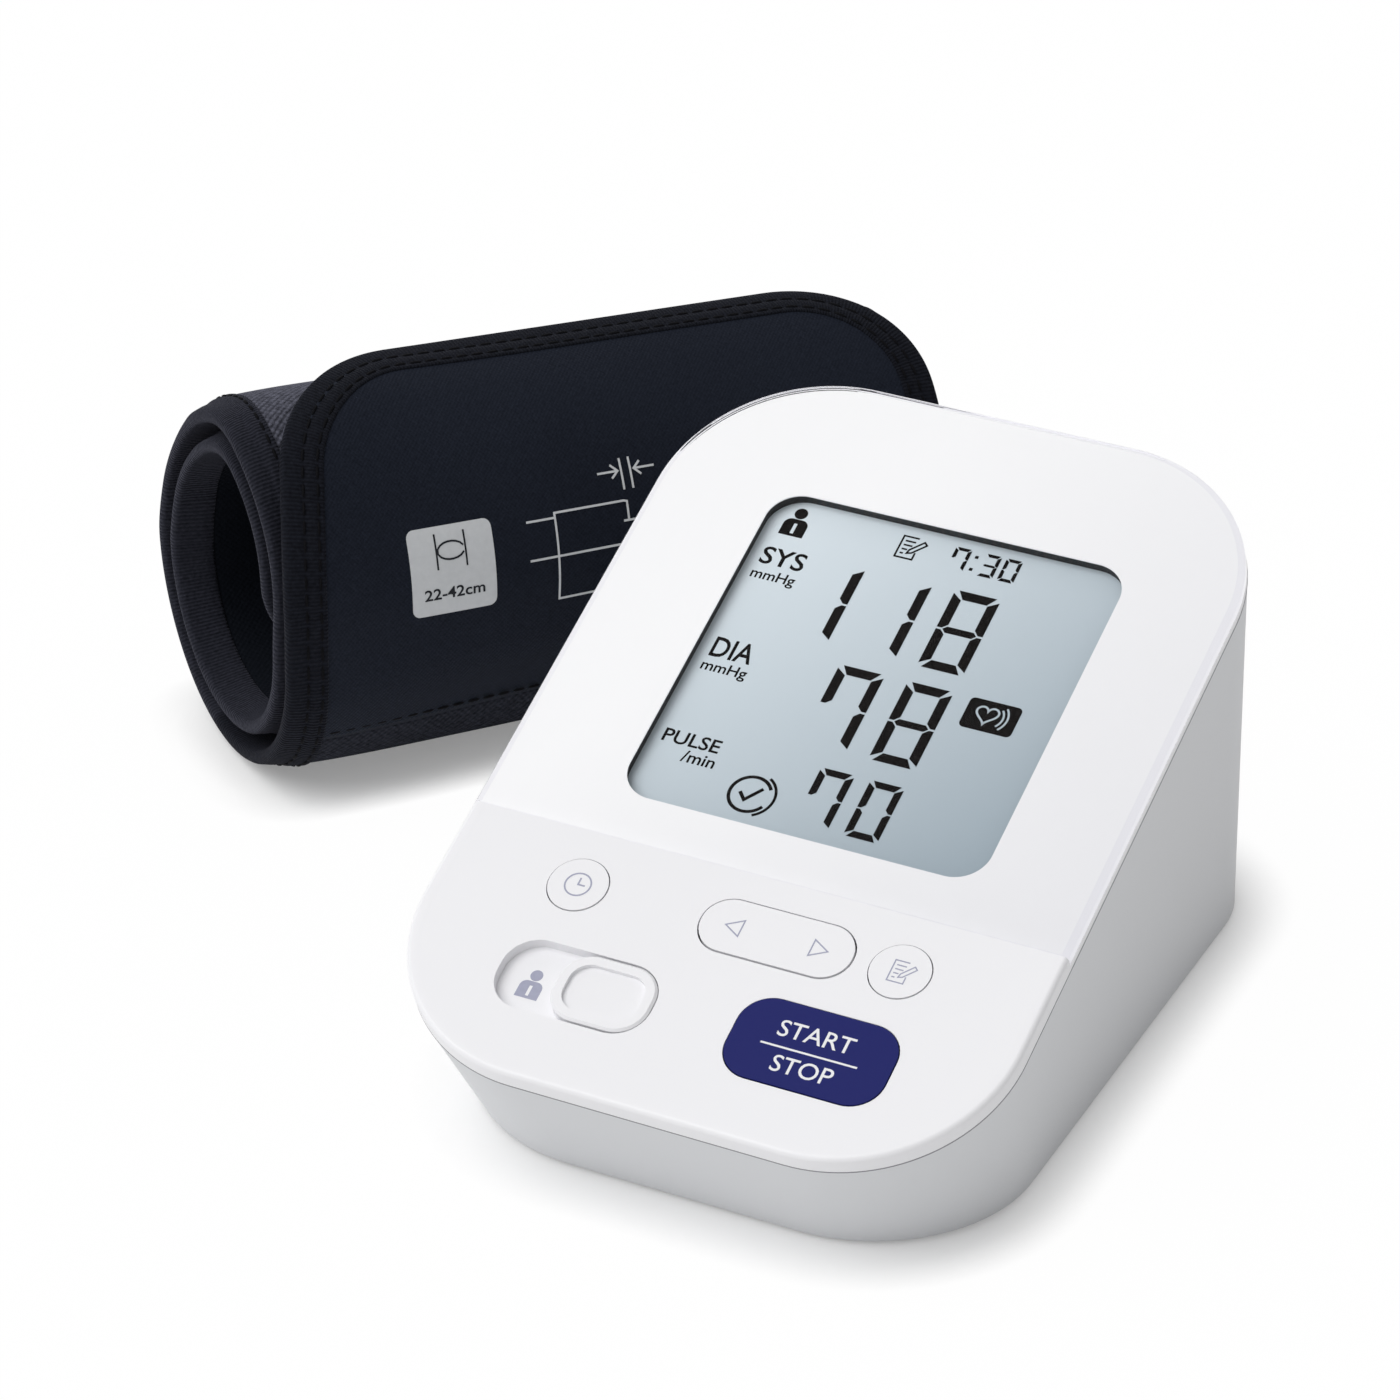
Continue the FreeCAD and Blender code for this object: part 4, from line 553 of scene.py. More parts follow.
def ink(name, dark, light, shine, gloss, grain, rub, detail=2.0):
    """Printing ink: its colour drifts in clouds of one grain, and its gloss in others.

    The roughness is the first number of gloss, and up to the second one more.
    """
    finish = Finish(name, {"Specular IOR Level": shine})
    finish.look(
        base_color=finish.between(finish.noise(grain, detail), dark, light),
        roughness=gloss[0] + gloss[1] * finish.noise(rub, detail),
    )
    return finish


ink_black = ink("segment_black", (0.003, 0.002, 0.002), (0.006, 0.005, 0.005), 0.05, (0.32, 0.12),
                900.0, 900.0)
cell_top, beat_lift = -4.2, 0.05
big, pulse, clock = (8.3, 16.9, 1.75), (6.1, 11.7, 1.28), (2.95, 4.9, 0.62)
figures = [
    ("1", -19.75, 50.0, *big), ("1", -7.4, 50.0, *big), ("8", 5.0, 50.0, *big),
    ("7", -7.5, 29.6, *big), ("8", 4.95, 29.6, *big),
    ("7", -1.75, 14.0, *pulse), ("0", 7.15, 14.0, *pulse),
    ("7", 1.55, 70.75, *clock), ("3", 7.0, 70.75, *clock), ("0", 10.8, 70.75, *clock),
]
words = [
    ("SYS", -30.1, 62.9, 8.1, 3.8), ("mmHg", -30.2, 59.0, 8.1, 2.75),
    ("DIA", -29.9, 41.9, 7.6, 4.2), ("mmHg", -30.1, 38.2, 8.3, 2.8),
    ("PULSE", -30.1, 23.1, 10.4, 2.75), ("/min", -25.2, 20.0, 6.0, 2.4),
]
colon = [patch(rounded((5.72, height), 0.62, 0.62, 0.1)) for height in (74.4, 71.7)]
tick_middle = (-11.0, 17.1)
tick_sign = [
    stroke(circle(tick_middle, 3.55, 30, 330), 0.6),
    stroke(circle(tick_middle, 4.4, -62, 62, 24), 0.5),
    stroke([(-12.8, 17.2), (-11.5, 15.8), (-9.2, 18.7)], 0.62),
]
head_signs = [user_mark((-27.1, 72.9), 6.2), notes_mark((-6.3, 73.1), 5.0, 0.34)]
beat_field = patch(rounded((21.1, 43.45), 9.3, 6.3, 0.9))
shown = joined([
    *(segments(*figure) for figure in figures),
    *(lettering(*word) for word in words),
    *colon, *head_signs, *tick_sign, beat_field,
])
printed("display_segments", shown, cell_top + ink_thick, ink_black, "case")
beat_marks = joined([
    stroke(heart((20.3, 43.45), 3.9), 0.36, True),
    *(stroke(circle((20.6, 43.6), radius, -42, 40, 12), 0.34) for radius in (2.6, 3.4)),
])
printed("display_beat", beat_marks, cell_top + beat_lift, cell_finish, "case")


# Buttons
# Caps moulded in one with the lid's white, and a navy one, pressed from below into their holes.
# Their signs are pad printed in lavender grey, and the words on the navy cap in white.
dress(white_shell, "clock_button", "memory_button", "rocker_button", "user_slider")
navy_cap = moulded("navy_cap", (0.007, 0.011, 0.128), 0.36, 2600.0, 0.00002, 0.2)
dress(navy_cap, "start_button")

ink_grey = ink("sign_grey", (0.33, 0.34, 0.45), (0.40, 0.41, 0.52), 0.3, (0.40, 0.1), 1200.0, 700.0)
ink_white = ink("sign_white", (0.80, 0.80, 0.82), (0.86, 0.86, 0.88), 0.3, (0.40, 0.1), 1200.0, 700.0)
cap_sign = 0.15 + ink_thick
clock_middle = np.array([-28.7, -10.6])
clock_sign = joined([
    stroke(circle(clock_middle, 2.2), 0.28, True),
    stroke(clock_middle + [(0, 1.35), (0, 0), (1.25, 0)], 0.28),
])
printed("clock_sign", clock_sign, cap_sign, ink_grey, "clock_button")
memory_sign = notes_mark((28.5, -10.7), 4.4, 0.22)
printed("memory_sign", memory_sign, cap_sign, ink_grey, "memory_button")
arrow = np.array([(-1.75, 0.0), (1.05, 1.6), (1.05, -1.6)])
rocker_sign = joined([
    stroke(arrow + (-0.35, -10.6), 0.24, True),
    stroke(arrow[::-1] * (-1, 1) + (14.15, -10.6), 0.24, True),
])
printed("rocker_sign", rocker_sign, cap_sign, ink_grey, "rocker")
start_sign = joined([
    lettering("START", 14.4, -27.75, 12.9, 3.1, 0.004),
    lettering("STOP", 15.9, -34.2, 10.4, 3.1, 0.004),
    patch([(12.6, -29.85), (29.3, -29.85), (29.3, -29.5), (12.6, -29.5)]),
])
printed("start_sign", start_sign, cap_sign, ink_white, "start_button")
recess_sign = -2.0 + ink_thick
printed("user_sign", user_mark((-28.4, -29.6), 5.6), recess_sign, ink_grey, "case")


# Lid edge and the shadow line under it
# The lid's outer edge below the seam, rounded like the window's, as a skin over the lid; under it a
# narrow open groove runs round the case where the lid meets the tub, and a dark strip there paints its shade.
skin = 0.012
edge_rows = np.concatenate([
    [(2.2, -0.6), (2.2, skin), (2.15, skin)],
    edge_round + (-skin, skin),
    [(-skin, -3.2), (-skin, -3.25), (0.6, -3.25)],
])
edge_lines = []
for inset, _ in edge_rows:
    front_half = face_outline(inset)[2 * corner_points:]
    ends = np.array([(front_half[0, 0], -seam_gap), (front_half[-1, 0], -seam_gap)])
    edge_lines.append(np.concatenate([ends[:1], front_half, ends[1:]]))
edge_lines = np.stack(edge_lines, 1)
lid_edge = swept("lid_edge", edge_lines, edge_rows[:, 1], [white_shell], crease=edge_crease)
carried(lid_edge, "case")
# Painted shade: a dark grey strip that stands for the shade in the groove
groove_shade_finish = moulded("groove_grey", (0.30, 0.30, 0.32), 0.7, 2600.0, 0.00002, 0.1)
parting, groove_half, groove_depth, groove_proud = -3.4, 0.14, 0.4, 0.03
groove_rows = np.array([
    (-groove_proud, parting + groove_half), (-groove_proud, parting - groove_half),
    (groove_depth, parting - groove_half), (groove_depth, parting + groove_half),
])
groove_lines = np.stack([face_outline(inset) for inset, _ in groove_rows], 1)
groove = swept("parting_line", groove_lines, groove_rows[:, 1], [groove_shade_finish], ring=True)
carried(groove, "case")


# Display holder and connector
# A black moulded frame clips the cell to the board, and a bar of rubber in thin dark and pale
# slices, squeezed between them, carries the signals.
dress(rim_finish, "lcd_holder")


def rubber(name, dark, light, roughness):
    """Soft moulding: dull, with cloudy dust and a faint uneven skin."""
    finish = Finish(name, {"Specular IOR Level": 0.25, "Sheen Weight": 0.05})
    dust = finish.noise(220.0, 4.0)
    skin = finish.noise(1800.0)
    finish.look(
        base_color=finish.between(dust, dark, light),
        roughness=roughness + 0.12 * skin,
        normal=finish.bump(skin, 0.3, 0.00005),
    )
    return finish


slice_pitch = 0.0005
zebra_rubber = rubber("zebra_rubber", (0.02, 0.02, 0.02), (0.60, 0.52, 0.50), 0.6)
slices = (zebra_rubber.part("X") * (2 * np.pi / slice_pitch)).sine().above(0.0)
zebra_rubber.look(base_color=zebra_rubber.between(slices, (0.02, 0.02, 0.02), (0.60, 0.52, 0.50)))
dress(zebra_rubber, "zebra_strip")


# Main board and its parts
# Glass fibre board with green solder mask over copper tracks, held by four screws under the lid;
# black epoxy chips, a buzzer, an aluminium capacitor and an air pressure sensor are soldered to it.
solder_mask = Finish("solder_mask", {"Specular IOR Level": 0.5, "Coat Weight": 0.3, "Coat Roughness": 0.2})
track_pitch = 0.0016
lanes = (solder_mask.part("X") * (2 * np.pi / track_pitch)).sine().above(0.35)
tracks = lanes * solder_mask.noise(90.0).above(0.48)
fibre = solder_mask.noise(1400.0)
masked = solder_mask.between(fibre, (0.010, 0.085, 0.030), (0.016, 0.115, 0.042))
solder_mask.look(
    base_color=solder_mask.between(tracks, masked, (0.030, 0.190, 0.070)),
    roughness=0.30 + 0.15 * fibre,
    normal=solder_mask.bump(tracks, 0.5, 0.00004),
)
dress(solder_mask, "main_board")
chip_epoxy = moulded("chip_epoxy", (0.022, 0.022, 0.024), 0.55, 5200.0, 0.00003, 0.3)
dress(chip_epoxy, "mcu_chip", "buzzer", "pressure_sensor")


def brushed(name, colour, roughness, along):
    """Bright metal: fine scratches drawn out along one axis, 0, 1 or 2, with a little tarnish."""
    finish = Finish(name, {"Metallic": 1.0})
    cells = [2600.0, 2600.0, 2600.0]
    cells[along] = 60.0
    drawn = finish.add("Mapping", None, {"Vector": finish.place, "Scale": tuple(cells)})
    scratch = finish.add("TexNoise", None, {"Vector": drawn, "Scale": 1.0, "Detail": 2.0})
    tarnish = finish.noise(120.0, 3.0)
    darker = tuple(0.78 * value for value in colour)
    finish.look(
        base_color=finish.between(tarnish, darker, colour),
        roughness=roughness + 0.20 * scratch,
        normal=finish.bump(scratch, 0.25, 0.00002),
    )
    return finish


bright_steel = brushed("bright_steel", (0.62, 0.63, 0.65), 0.22, 0)
can_aluminium = brushed("can_aluminium", (0.72, 0.73, 0.75), 0.24, 2)
dress(bright_steel, "board_screws", "rocker_pin")
dress(can_aluminium, "filter_capacitor")


# Switches
# Small tact switches under the buttons and a slide switch under the knob: dark glass filled
# plastic, soldered to the board.
switch_plastic = moulded("switch_plastic", (0.045, 0.045, 0.050), 0.5, 3600.0, 0.00003, 0.35)
dress(switch_plastic, "start_switch", "clock_switch", "memory_switch", "back_switch", "forward_switch",
      "slide_switch", "slide_switch_lever")


# Air pump, valve and hoses
# A steel motor with an eccentric drives the pump head; hoses of pale rubber lead from it through a
# moulded manifold to the valve, the sensor and the socket in the left wall.
grey_moulding = moulded("grey_moulding", (0.52, 0.53, 0.55), 0.5, 2600.0, 0.00003)
hose_rubber = rubber("hose_rubber", (0.52, 0.52, 0.50), (0.64, 0.64, 0.62), 0.5)
dress(bright_steel, "pump_motor", "pump_rotor", "valve_plunger")
dress(grey_moulding, "pump_eccentric", "pump_head", "pump_cradle", "valve_body", "air_manifold", "air_jack")
dress(hose_rubber, "pump_tube", "valve_tube", "sensor_tube")


# Power socket
# A black moulded block with a barrel and its pin, which stands on the roof of the battery well and
# reaches through the rear wall.
dress(rim_finish, "dc_jack")


# Batteries and contacts
# Four plain cells in a dark printed wrap with bright ends, each the other way round from the one
# beside it, between springy steel contacts.
wrap_end, ring_start = 0.0246, 0.0190


def wrapped(name, side):
    """Cell wrap along x: bright metal past both ends and a pale ring near the end on one side."""
    finish = Finish(name, {"Specular IOR Level": 0.5})
    place = finish.part("X")
    ends = place.above(wrap_end) + (place * -1.0).above(wrap_end)
    ring = (place * side).above(ring_start)
    scuff = finish.noise(600.0, 3.0)
    wrap = finish.between(scuff, (0.016, 0.018, 0.024), (0.034, 0.037, 0.046))
    ringed = finish.between(ring, wrap, (0.36, 0.38, 0.41))
    finish.look(
        base_color=finish.between(ends, ringed, (0.62, 0.63, 0.65)),
        metallic=ends,
        roughness=0.28 + 0.16 * scuff,
    )
    return finish


dress(wrapped("cell_wrap_right", 1.0), "battery_1", "battery_3")
dress(wrapped("cell_wrap_left", -1.0), "battery_2", "battery_4")
dress(bright_steel, "battery_contacts_left", "battery_contacts_right")


# Underside
# The battery cover is moulded in the tub's grey; four black rubber feet are glued into shallow
# seats, and the case screws sit deep in their wells.
foot_rubber = rubber("foot_rubber", (0.045, 0.045, 0.047), (0.085, 0.085, 0.088), 0.72)
dress(grey_shell, "battery_cover")
dress(foot_rubber, "rubber_feet")
dress(bright_steel, "case_screws")


# Cuff strip
# One padded strip, wound in upright oval turns: smooth navy cloth on the free end and the front,
# charcoal loop cloth on the rest, with painted shade that makes it darker at the front foot, and a smooth
# lining inside. Cut flat, sewn and then rolled up.
cuff_base = np.array([-137.4, 20.2, -0.8])
cuff_turn = np.radians(53.0)
roll_back = np.array([-np.sin(cuff_turn), np.cos(cuff_turn), 0.0])
roll_along = np.array([np.cos(cuff_turn), np.sin(cuff_turn), 0.0])
cuff_width = 132.0
strip_half = 2.5
wrap_pitch = 5.6
quarter_turns = 9
near_wrap, far_wrap = (32.0, 9.5, 0.0), (30.4, 4.0, -1.6)
wrap_lean = 4.0


def wound_stretches(radius, rise, shift):
    """Rows of first and last centre, radius, first and last angle for each stretch of the strip.

    A quarter turn is followed by a straight run after each even one. Each turn is a quarter of
    the pitch smaller than the one before, and its centre moves by as much.
    """
    rows = []
    centre = np.array([shift, 0.0])
    angle = 90.0 + wrap_lean
    step = wrap_pitch / 4
    for quarter in range(quarter_turns):
        rows.append((*centre, *centre, radius, angle, angle + 90))
        angle += 90
        way = np.array([np.cos(np.radians(angle + 90)), np.sin(np.radians(angle + 90))])
        if quarter % 2 == 0:
            rows.append((*centre, *(centre + rise * way), radius, angle, angle))
            centre = centre + rise * way
        centre = centre + step * np.array([way[1], -way[0]])
        radius -= step
    rows = np.array(rows)
    rows[:, [1, 3]] += rows[2, 4] + strip_half - rows[2, 1]
    return rows


near_rows, far_rows = wound_stretches(*near_wrap), wound_stretches(*far_wrap)
middle_rows = (near_rows + far_rows) / 2
lengths = np.hypot(*(middle_rows[:, 2:4] - middle_rows[:, :2]).T)
lengths += np.radians(middle_rows[:, 6] - middle_rows[:, 5]) * middle_rows[:, 4]
marks = np.concatenate([[0.0], np.cumsum(lengths)])
strip_length = marks[-1]
stand_off, floor_clear = 2.2, 0.02
foot_swell, foot_run, foot_reach, foot_edge = 2.2, 79.0, 9.0, 14.0
sink_level, sink_rise, sink_run = 30.0, 32.0, 20.0
sink_depth, sink_front, sink_span = 5.5, -14.0, 28.0
near_sink, near_reach = 2.0, 6.0


def eased(value):
    """Smooth step from 0 to 1."""
    value = np.clip(value, 0, 1)
    return value * value * (3 - 2 * value)


def on_strip(run, along, out):
    """Point run from the free end along the strip, along the roll and out from its middle layer.

    The stretch that holds the run gives a centre, a radius and an angle, each between those of
    the near and the far end of the roll. The free quarter turn stands off a little, the front
    foot is full, and the inner turns have sunk forward at the top of their back.
    """
    run, along, out = np.broadcast_arrays(*(np.asarray(value, float) for value in (run, along, out)))
    index = np.clip(np.searchsorted(marks, run, side="right") - 1, 0, len(lengths) - 1)
    part = (run - marks[index]) / lengths[index]
    share = (along / cuff_width)[..., None]
    rows = near_rows[index] * (1 - share) + far_rows[index] * share
    angle = np.radians(rows[..., 5] + (rows[..., 6] - rows[..., 5]) * part)
    free = np.where(index == 0, stand_off * (1 - np.cos(np.radians(rows[..., 6]) - angle)), 0.0)
    inside = np.maximum(along, 0)
    foot = foot_swell * np.exp(-((run - foot_run) / foot_reach) ** 2) * (1 - np.exp(-inside / foot_edge))
    reach = rows[..., 4] + out + free + foot
    back = rows[..., 0] + (rows[..., 2] - rows[..., 0]) * part + reach * np.cos(angle)
    raised = rows[..., 1] + (rows[..., 3] - rows[..., 1]) * part + reach * np.sin(angle)
    up = np.maximum(raised, floor_clear)
    sunk = eased((up - sink_level) / sink_rise) * eased((run - marks[3]) / sink_run)
    sink = sink_depth * eased((back - sink_front) / sink_span) + near_sink * np.exp(-inside / near_reach)
    back = back - sunk * sink
    return cuff_base + back[..., None] * roll_back + along[..., None] * roll_along + up[..., None] * (0, 0, 1)


panel_end = 70.0
hinge_run = marks[1] + 2.0
flap_skew = 12.0
near_corner, far_corner, inner_corner = 20.0, 24.0, 10.0


def skewed(run):
    """Near edge of the free end before its corner is rounded: askew above the hinge line."""
    lean = np.radians(90 + wrap_lean) + np.minimum(run / marks[1], 1.0) * np.pi / 2
    full = np.cos(np.radians(90 + wrap_lean)) + np.cos(np.radians(wrap_lean))
    return flap_skew * np.maximum(np.cos(lean) + np.cos(np.radians(wrap_lean)), 0) / full


def cut_back(distance, radius):
    """How far a round corner cuts into an edge, at a distance from the end of the strip."""
    into = np.clip(radius - distance, 0, radius)
    return radius - np.sqrt(radius ** 2 - into ** 2)


def near_side(run):
    """Near edge of the strip, with a round corner at each end."""
    return skewed(run) + cut_back(run, near_corner) + cut_back(strip_length - run, inner_corner)


def far_side(run):
    """Far edge of the strip, with a round corner at each end."""
    return cuff_width - cut_back(run, far_corner) - cut_back(strip_length - run, inner_corner)


def ripple(run, along):
    """Soft unevenness of padded cloth: a few long waves that cross each other."""
    return (0.30 * np.sin(run / 9.0 + along / 37.0) * np.sin(along / 14.0 + 0.6)
            + 0.16 * np.sin(run / 5.2 - along / 19.0 + 1.3))


tape_join = 106.0
across_count, edge_count = 100, 5
pinched, pinch_reach = 1.0, 7.0
panel_full, panel_swell = 2.1, 0.25
roll_full, roll_swell = 2.2, 0.1
no_crease = 180.0


def softness(depth):
    """Share of the padding's freedom at a distance from the sewn edge."""
    return 1 - np.exp(-np.maximum(depth, 0) / 5.0)


def on_cloth(run, along, out, depth=np.inf):
    """Point on the strip as it lies: uneven, but less so at a small depth from its sewn edge."""
    return on_strip(run, along, out + softness(depth) * ripple(run, along))


def layer_half(depth, full, swell):
    """Half thickness at a distance from the edge: thin where it is sewn, full and crowned inside."""
    return pinched + (full - pinched) * eased(depth / pinch_reach) + swell * softness(depth)


def mapped(piece, first, second):
    """Map of two lengths in millimetres at every point, held in metres, which the weave follows."""
    corners = np.empty(len(piece.data.loops), np.int32)
    piece.data.loops.foreach_get("vertex_index", corners)
    first, second = np.broadcast_arrays(first, second)
    places = np.column_stack([first.ravel(), second.ravel()])[corners] * 0.001
    piece.data.uv_layers.new(name="strip").uv.foreach_set("vector", places.astype(np.float32).ravel())


def corner_depth(side, end, radius):
    """Distance into the strip from its edge near a round corner, from those to its side and end."""
    arc = radius - np.hypot(radius - side, radius - end)
    return np.where((side < radius) & (end < radius), arc, np.minimum(side, end))


def strip_piece(name, runs, end_depth, corners, full, swell, finishes):
    """Padded strip: its section is carried along the runs, thicker away from its bound edges.

    The section goes across outside, round the far edge, back inside and round the near edge.
    Towards the strip's own end it thins out in the same way, and closes in a half round. The
    finishes are for the outside as far as the join of the tapes, for the rest of it and inside.
    """
    across = np.linspace(0, 1, across_count)
    bend = np.linspace(np.pi / 2, -np.pi / 2, edge_count + 2)[1:-1]
    share = np.concatenate([across, np.ones(edge_count), across[::-1], np.zeros(edge_count)])
    offset = np.concatenate([np.ones(across_count), np.sin(bend), -np.ones(across_count), -np.sin(bend)])
    edge = np.concatenate([np.zeros(across_count), np.cos(bend), np.zeros(across_count), -np.cos(bend)])
    near, far = near_side(runs)[:, None], far_side(runs)[:, None]
    along = near + pinched + (far - near - 2 * pinched) * share + pinched * edge
    near_depth = corner_depth(along - skewed(runs)[:, None], end_depth[:, None], corners[0])
    far_depth = corner_depth(cuff_width - along, end_depth[:, None], corners[1])
    depth = np.minimum(near_depth, far_depth)
    closing = np.sqrt(1 - np.clip(1 - end_depth / pinched, 0, 0.999) ** 2)[:, None]
    points = on_cloth(runs[:, None], along, offset * closing * layer_half(depth, full, swell), depth)
    piece = surface(name, points, tube_faces(*along.shape), finishes, no_crease)
    outer_kind = np.where(runs[:-1, None] < tape_join, 0, 1)
    kinds = np.zeros(len(piece.data.polygons), int)
    kinds[:-2] = np.where(offset < 0, 2, outer_kind).reshape(-1)
    piece.data.polygons.foreach_set("material_index", kinds)
    mapped(piece, runs[:, None], along)
    return piece


def woven(name, dark, light, roughness, nap_scale, depth, fuzz, threads):
    """Cloth: threads that follow the strip, a nap of so many cells to a metre, uneven dye and sheen.

    The threads are a sine wave along the strip times one across it, each with so many to a metre;
    where one of them is 0, only ribs of the other are left.
    """
    finish = Finish(name, {"Specular IOR Level": 0.03, "Sheen Weight": fuzz, "Sheen Roughness": 0.4,
                           "Sheen Tint": (0.62, 0.63, 0.78)})
    strip = finish.add("UVMap", {"uv_map": "strip"})
    warp = (finish.part("X", strip) * (2 * np.pi * threads[0])).sine()
    weft = (finish.part("Y", strip) * (2 * np.pi * threads[1]) + np.pi / 2).sine()
    weave = warp * weft
    nap = (finish.noise(nap_scale, 2.0) - 0.5) * 2.4
    drift = finish.noise(26.0, 4.0) - 0.5
    finish.look(
        base_color=finish.between(0.5 + 0.40 * nap + 0.40 * drift + 0.18 * weave, dark, light),
        roughness=roughness + 0.08 * nap,
        normal=finish.bump(0.5 * nap + 0.3 * weave, 0.8, depth),
    )
    return finish


smooth_cloth = woven("smooth_navy_cloth", (0.008, 0.010, 0.016), (0.020, 0.024, 0.036),
                     0.50, 1700.0, 0.00012, 0.006, (1250.0, 1250.0))
loop_cloth = woven("charcoal_loop_cloth", (0.014, 0.015, 0.020), (0.165, 0.168, 0.215),
                   0.90, 850.0, 0.00070, 0.06, (700.0, 700.0))
# Painted shade: a darker copy of the loop cloth for the roll's front foot, which faces down
shaded_foot_cloth = woven("dark_loop_cloth", (0.006, 0.007, 0.010), (0.046, 0.049, 0.064),
                   0.90, 850.0, 0.00070, 0.02, (700.0, 700.0))
lining_cloth = woven("smooth_lining", (0.003, 0.004, 0.006), (0.010, 0.012, 0.017),
                     0.60, 1500.0, 0.00012, 0.05, (900.0, 900.0))
panel_runs = panel_end * np.linspace(0.0, 1.0, 100) ** 1.35
panel = strip_piece("cuff_panel", panel_runs, panel_runs, (near_corner, far_corner), panel_full, panel_swell,
                    (smooth_cloth, smooth_cloth, lining_cloth))
roll_runs = strip_length - (strip_length - panel_end) * np.linspace(1.0, 0.0, 360) ** 1.12
rolled = strip_piece("cuff_roll", roll_runs, strip_length - roll_runs, (inner_corner, inner_corner),
                     roll_full, roll_swell, (shaded_foot_cloth, loop_cloth, lining_cloth))

hinge_near = on_strip(hinge_run, 0.0, strip_half) * 0.001
hinge_far = on_strip(hinge_run, cuff_width, strip_half) * 0.001
hinge_axis = unit(hinge_far - hinge_near)
hinge_up = np.array([0.0, 0.0, 1.0]) - hinge_axis[2] * hinge_axis
hinge_middle = (hinge_near + hinge_far) / 2


def follows_flap(piece):
    """Cloth with its transform baked into its mesh; the limits below and above the hinge line are worked out
    but not used.
    """
    tuple(hinge_middle - 0.006 * hinge_up)
    tuple(hinge_middle + 0.010 * hinge_up)
    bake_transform(piece)


follows_flap(panel)
carried(rolled, "cuff")
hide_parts("cuff_outer_fabric", "cuff_lining", "cuff_bladder")
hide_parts("cuff_flap")


# Hook pad
# A pad of stiff moulded hooks on a woven ground, sewn to the underside of the free end. Its hooks
# grip the loop cloth and keep the strip wound.
hook_tape = woven("hook_tape", (0.006, 0.007, 0.009), (0.045, 0.047, 0.055),
                  0.70, 700.0, 0.00090, 0.0, (600.0, 600.0))
hook_level, hook_thick = -2.75, 0.6
hook_span, hook_runs = np.linspace(26.0, 112.0, 60), np.linspace(7.0, 44.0, 30)
hook_across, hook_down = np.meshgrid(hook_span, hook_runs)


def grid_faces(rows, columns):
    """Four sided faces of an open grid of points, row after row."""
    corner = (np.arange(rows - 1)[:, None] * columns + np.arange(columns - 1)).reshape(-1)
    return np.column_stack([corner, corner + 1, corner + columns + 1, corner + columns]).tolist()


hook_shape = np.column_stack([hook_across.ravel(), hook_down.ravel()]), grid_faces(*hook_across.shape)
hooks = inked("hook_patch", hook_shape, lambda x, y: on_cloth(y, x, hook_level), hook_tape, hook_thick)
mapped(hooks, hook_down, hook_across)
follows_flap(hooks)
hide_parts("hook_pad")


# Binding tape and its stitches
# Knitted tape folded over the strip's edges, and sewn through with a double row of black thread
# that draws it in near its inner edge.
black_tape = woven("black_binding", (0.004, 0.004, 0.006), (0.016, 0.018, 0.025),
                   0.75, 1500.0, 0.00025, 0.05, (1450.0, 0.0))
grey_tape = woven("charcoal_binding", (0.006, 0.007, 0.010), (0.034, 0.035, 0.048),
                  0.80, 1500.0, 0.00025, 0.13, (1450.0, 0.0))
thread_finish = woven("sewing_thread", (0.003, 0.003, 0.004), (0.010, 0.010, 0.012),
                      0.60, 3000.0, 0.00008, 0.0, (0.0, 0.0))


def evenly(line, spacing):
    """Points at an even spacing along a line of rows of run and along."""
    steps = np.hypot(*np.diff(line, axis=0).T)
    places = np.concatenate([[0.0], np.cumsum(steps)])
    wanted = np.linspace(0, places[-1], int(places[-1] / spacing) + 1)
    return np.column_stack([np.interp(wanted, places, column) for column in line.T])


def bound_edge(runs, corner_near, corner_far, end_run, way):
    """Line of run and along: up the near edge, across the end of the strip and back at the far edge.

    Near the end each corner is an arc, whose angle gives the points even steps.
    """
    short = 1 - np.sin(np.linspace(0, np.pi / 2, 24))
    near_runs = np.concatenate([runs, end_run + way * corner_near * short])
    far_runs = np.concatenate([runs, end_run + way * corner_far * short])[::-1]
    near_line, far_line = (near_runs, near_side(near_runs)), (far_runs, far_side(far_runs))
    return np.concatenate([near_line, far_line], axis=1).T


def inward(line, end_way):
    """Unit direction from an edge line into the strip, square to the line."""
    return -end_way * square_to(unit(np.gradient(line, axis=0)))


def folded(full, swell):
    """Section of the tape: rows of distance into the strip and offset from its middle layer.

    Outside it lies on the strip with two hollows where the thread draws it in; it goes round the
    edge in a half ellipse and lies flat inside.
    """
    outer = np.array([
        (6.8, -0.25), (6.8, 0.20), (6.5, 0.34), (6.1, 0.28), (5.7, 0.14), (5.2, 0.30),
        (4.4, 0.40), (3.7, 0.28), (3.2, 0.14), (2.7, 0.30), (1.8, 0.40), (1.0, 0.38),
    ])
    inner = np.array([(1.0, 0.34), (2.7, 0.36), (4.6, 0.34), (6.4, 0.28), (6.8, 0.15), (6.8, -0.25)])
    turn = np.radians(np.linspace(75, -75, 7))
    bead = np.column_stack([0.5 - 0.9 * np.cos(turn), 1.36 * np.sin(turn)])
    outer[:, 1] += layer_half(outer[:, 0], full, swell)
    inner[:, 1] = -inner[:, 1] - layer_half(inner[:, 0], full, swell)
    return np.concatenate([outer, bead, inner])


def taped(name, line, end_way, profile, finish):
    """Tape folded round an edge: its section is carried along the edge line, square to it."""
    where = line[:, None] + inward(line, end_way)[:, None] * profile[:, :1]
    points = on_cloth(where[..., 0], where[..., 1], profile[:, 1], profile[:, 0])
    piece = surface(name, points, tube_faces(len(line), len(profile)), [finish], no_crease)
    steps = np.linalg.norm(np.diff(line, axis=0, prepend=line[:1]), axis=1)
    mapped(piece, np.cumsum(steps)[:, None], profile[:, 0])
    return piece


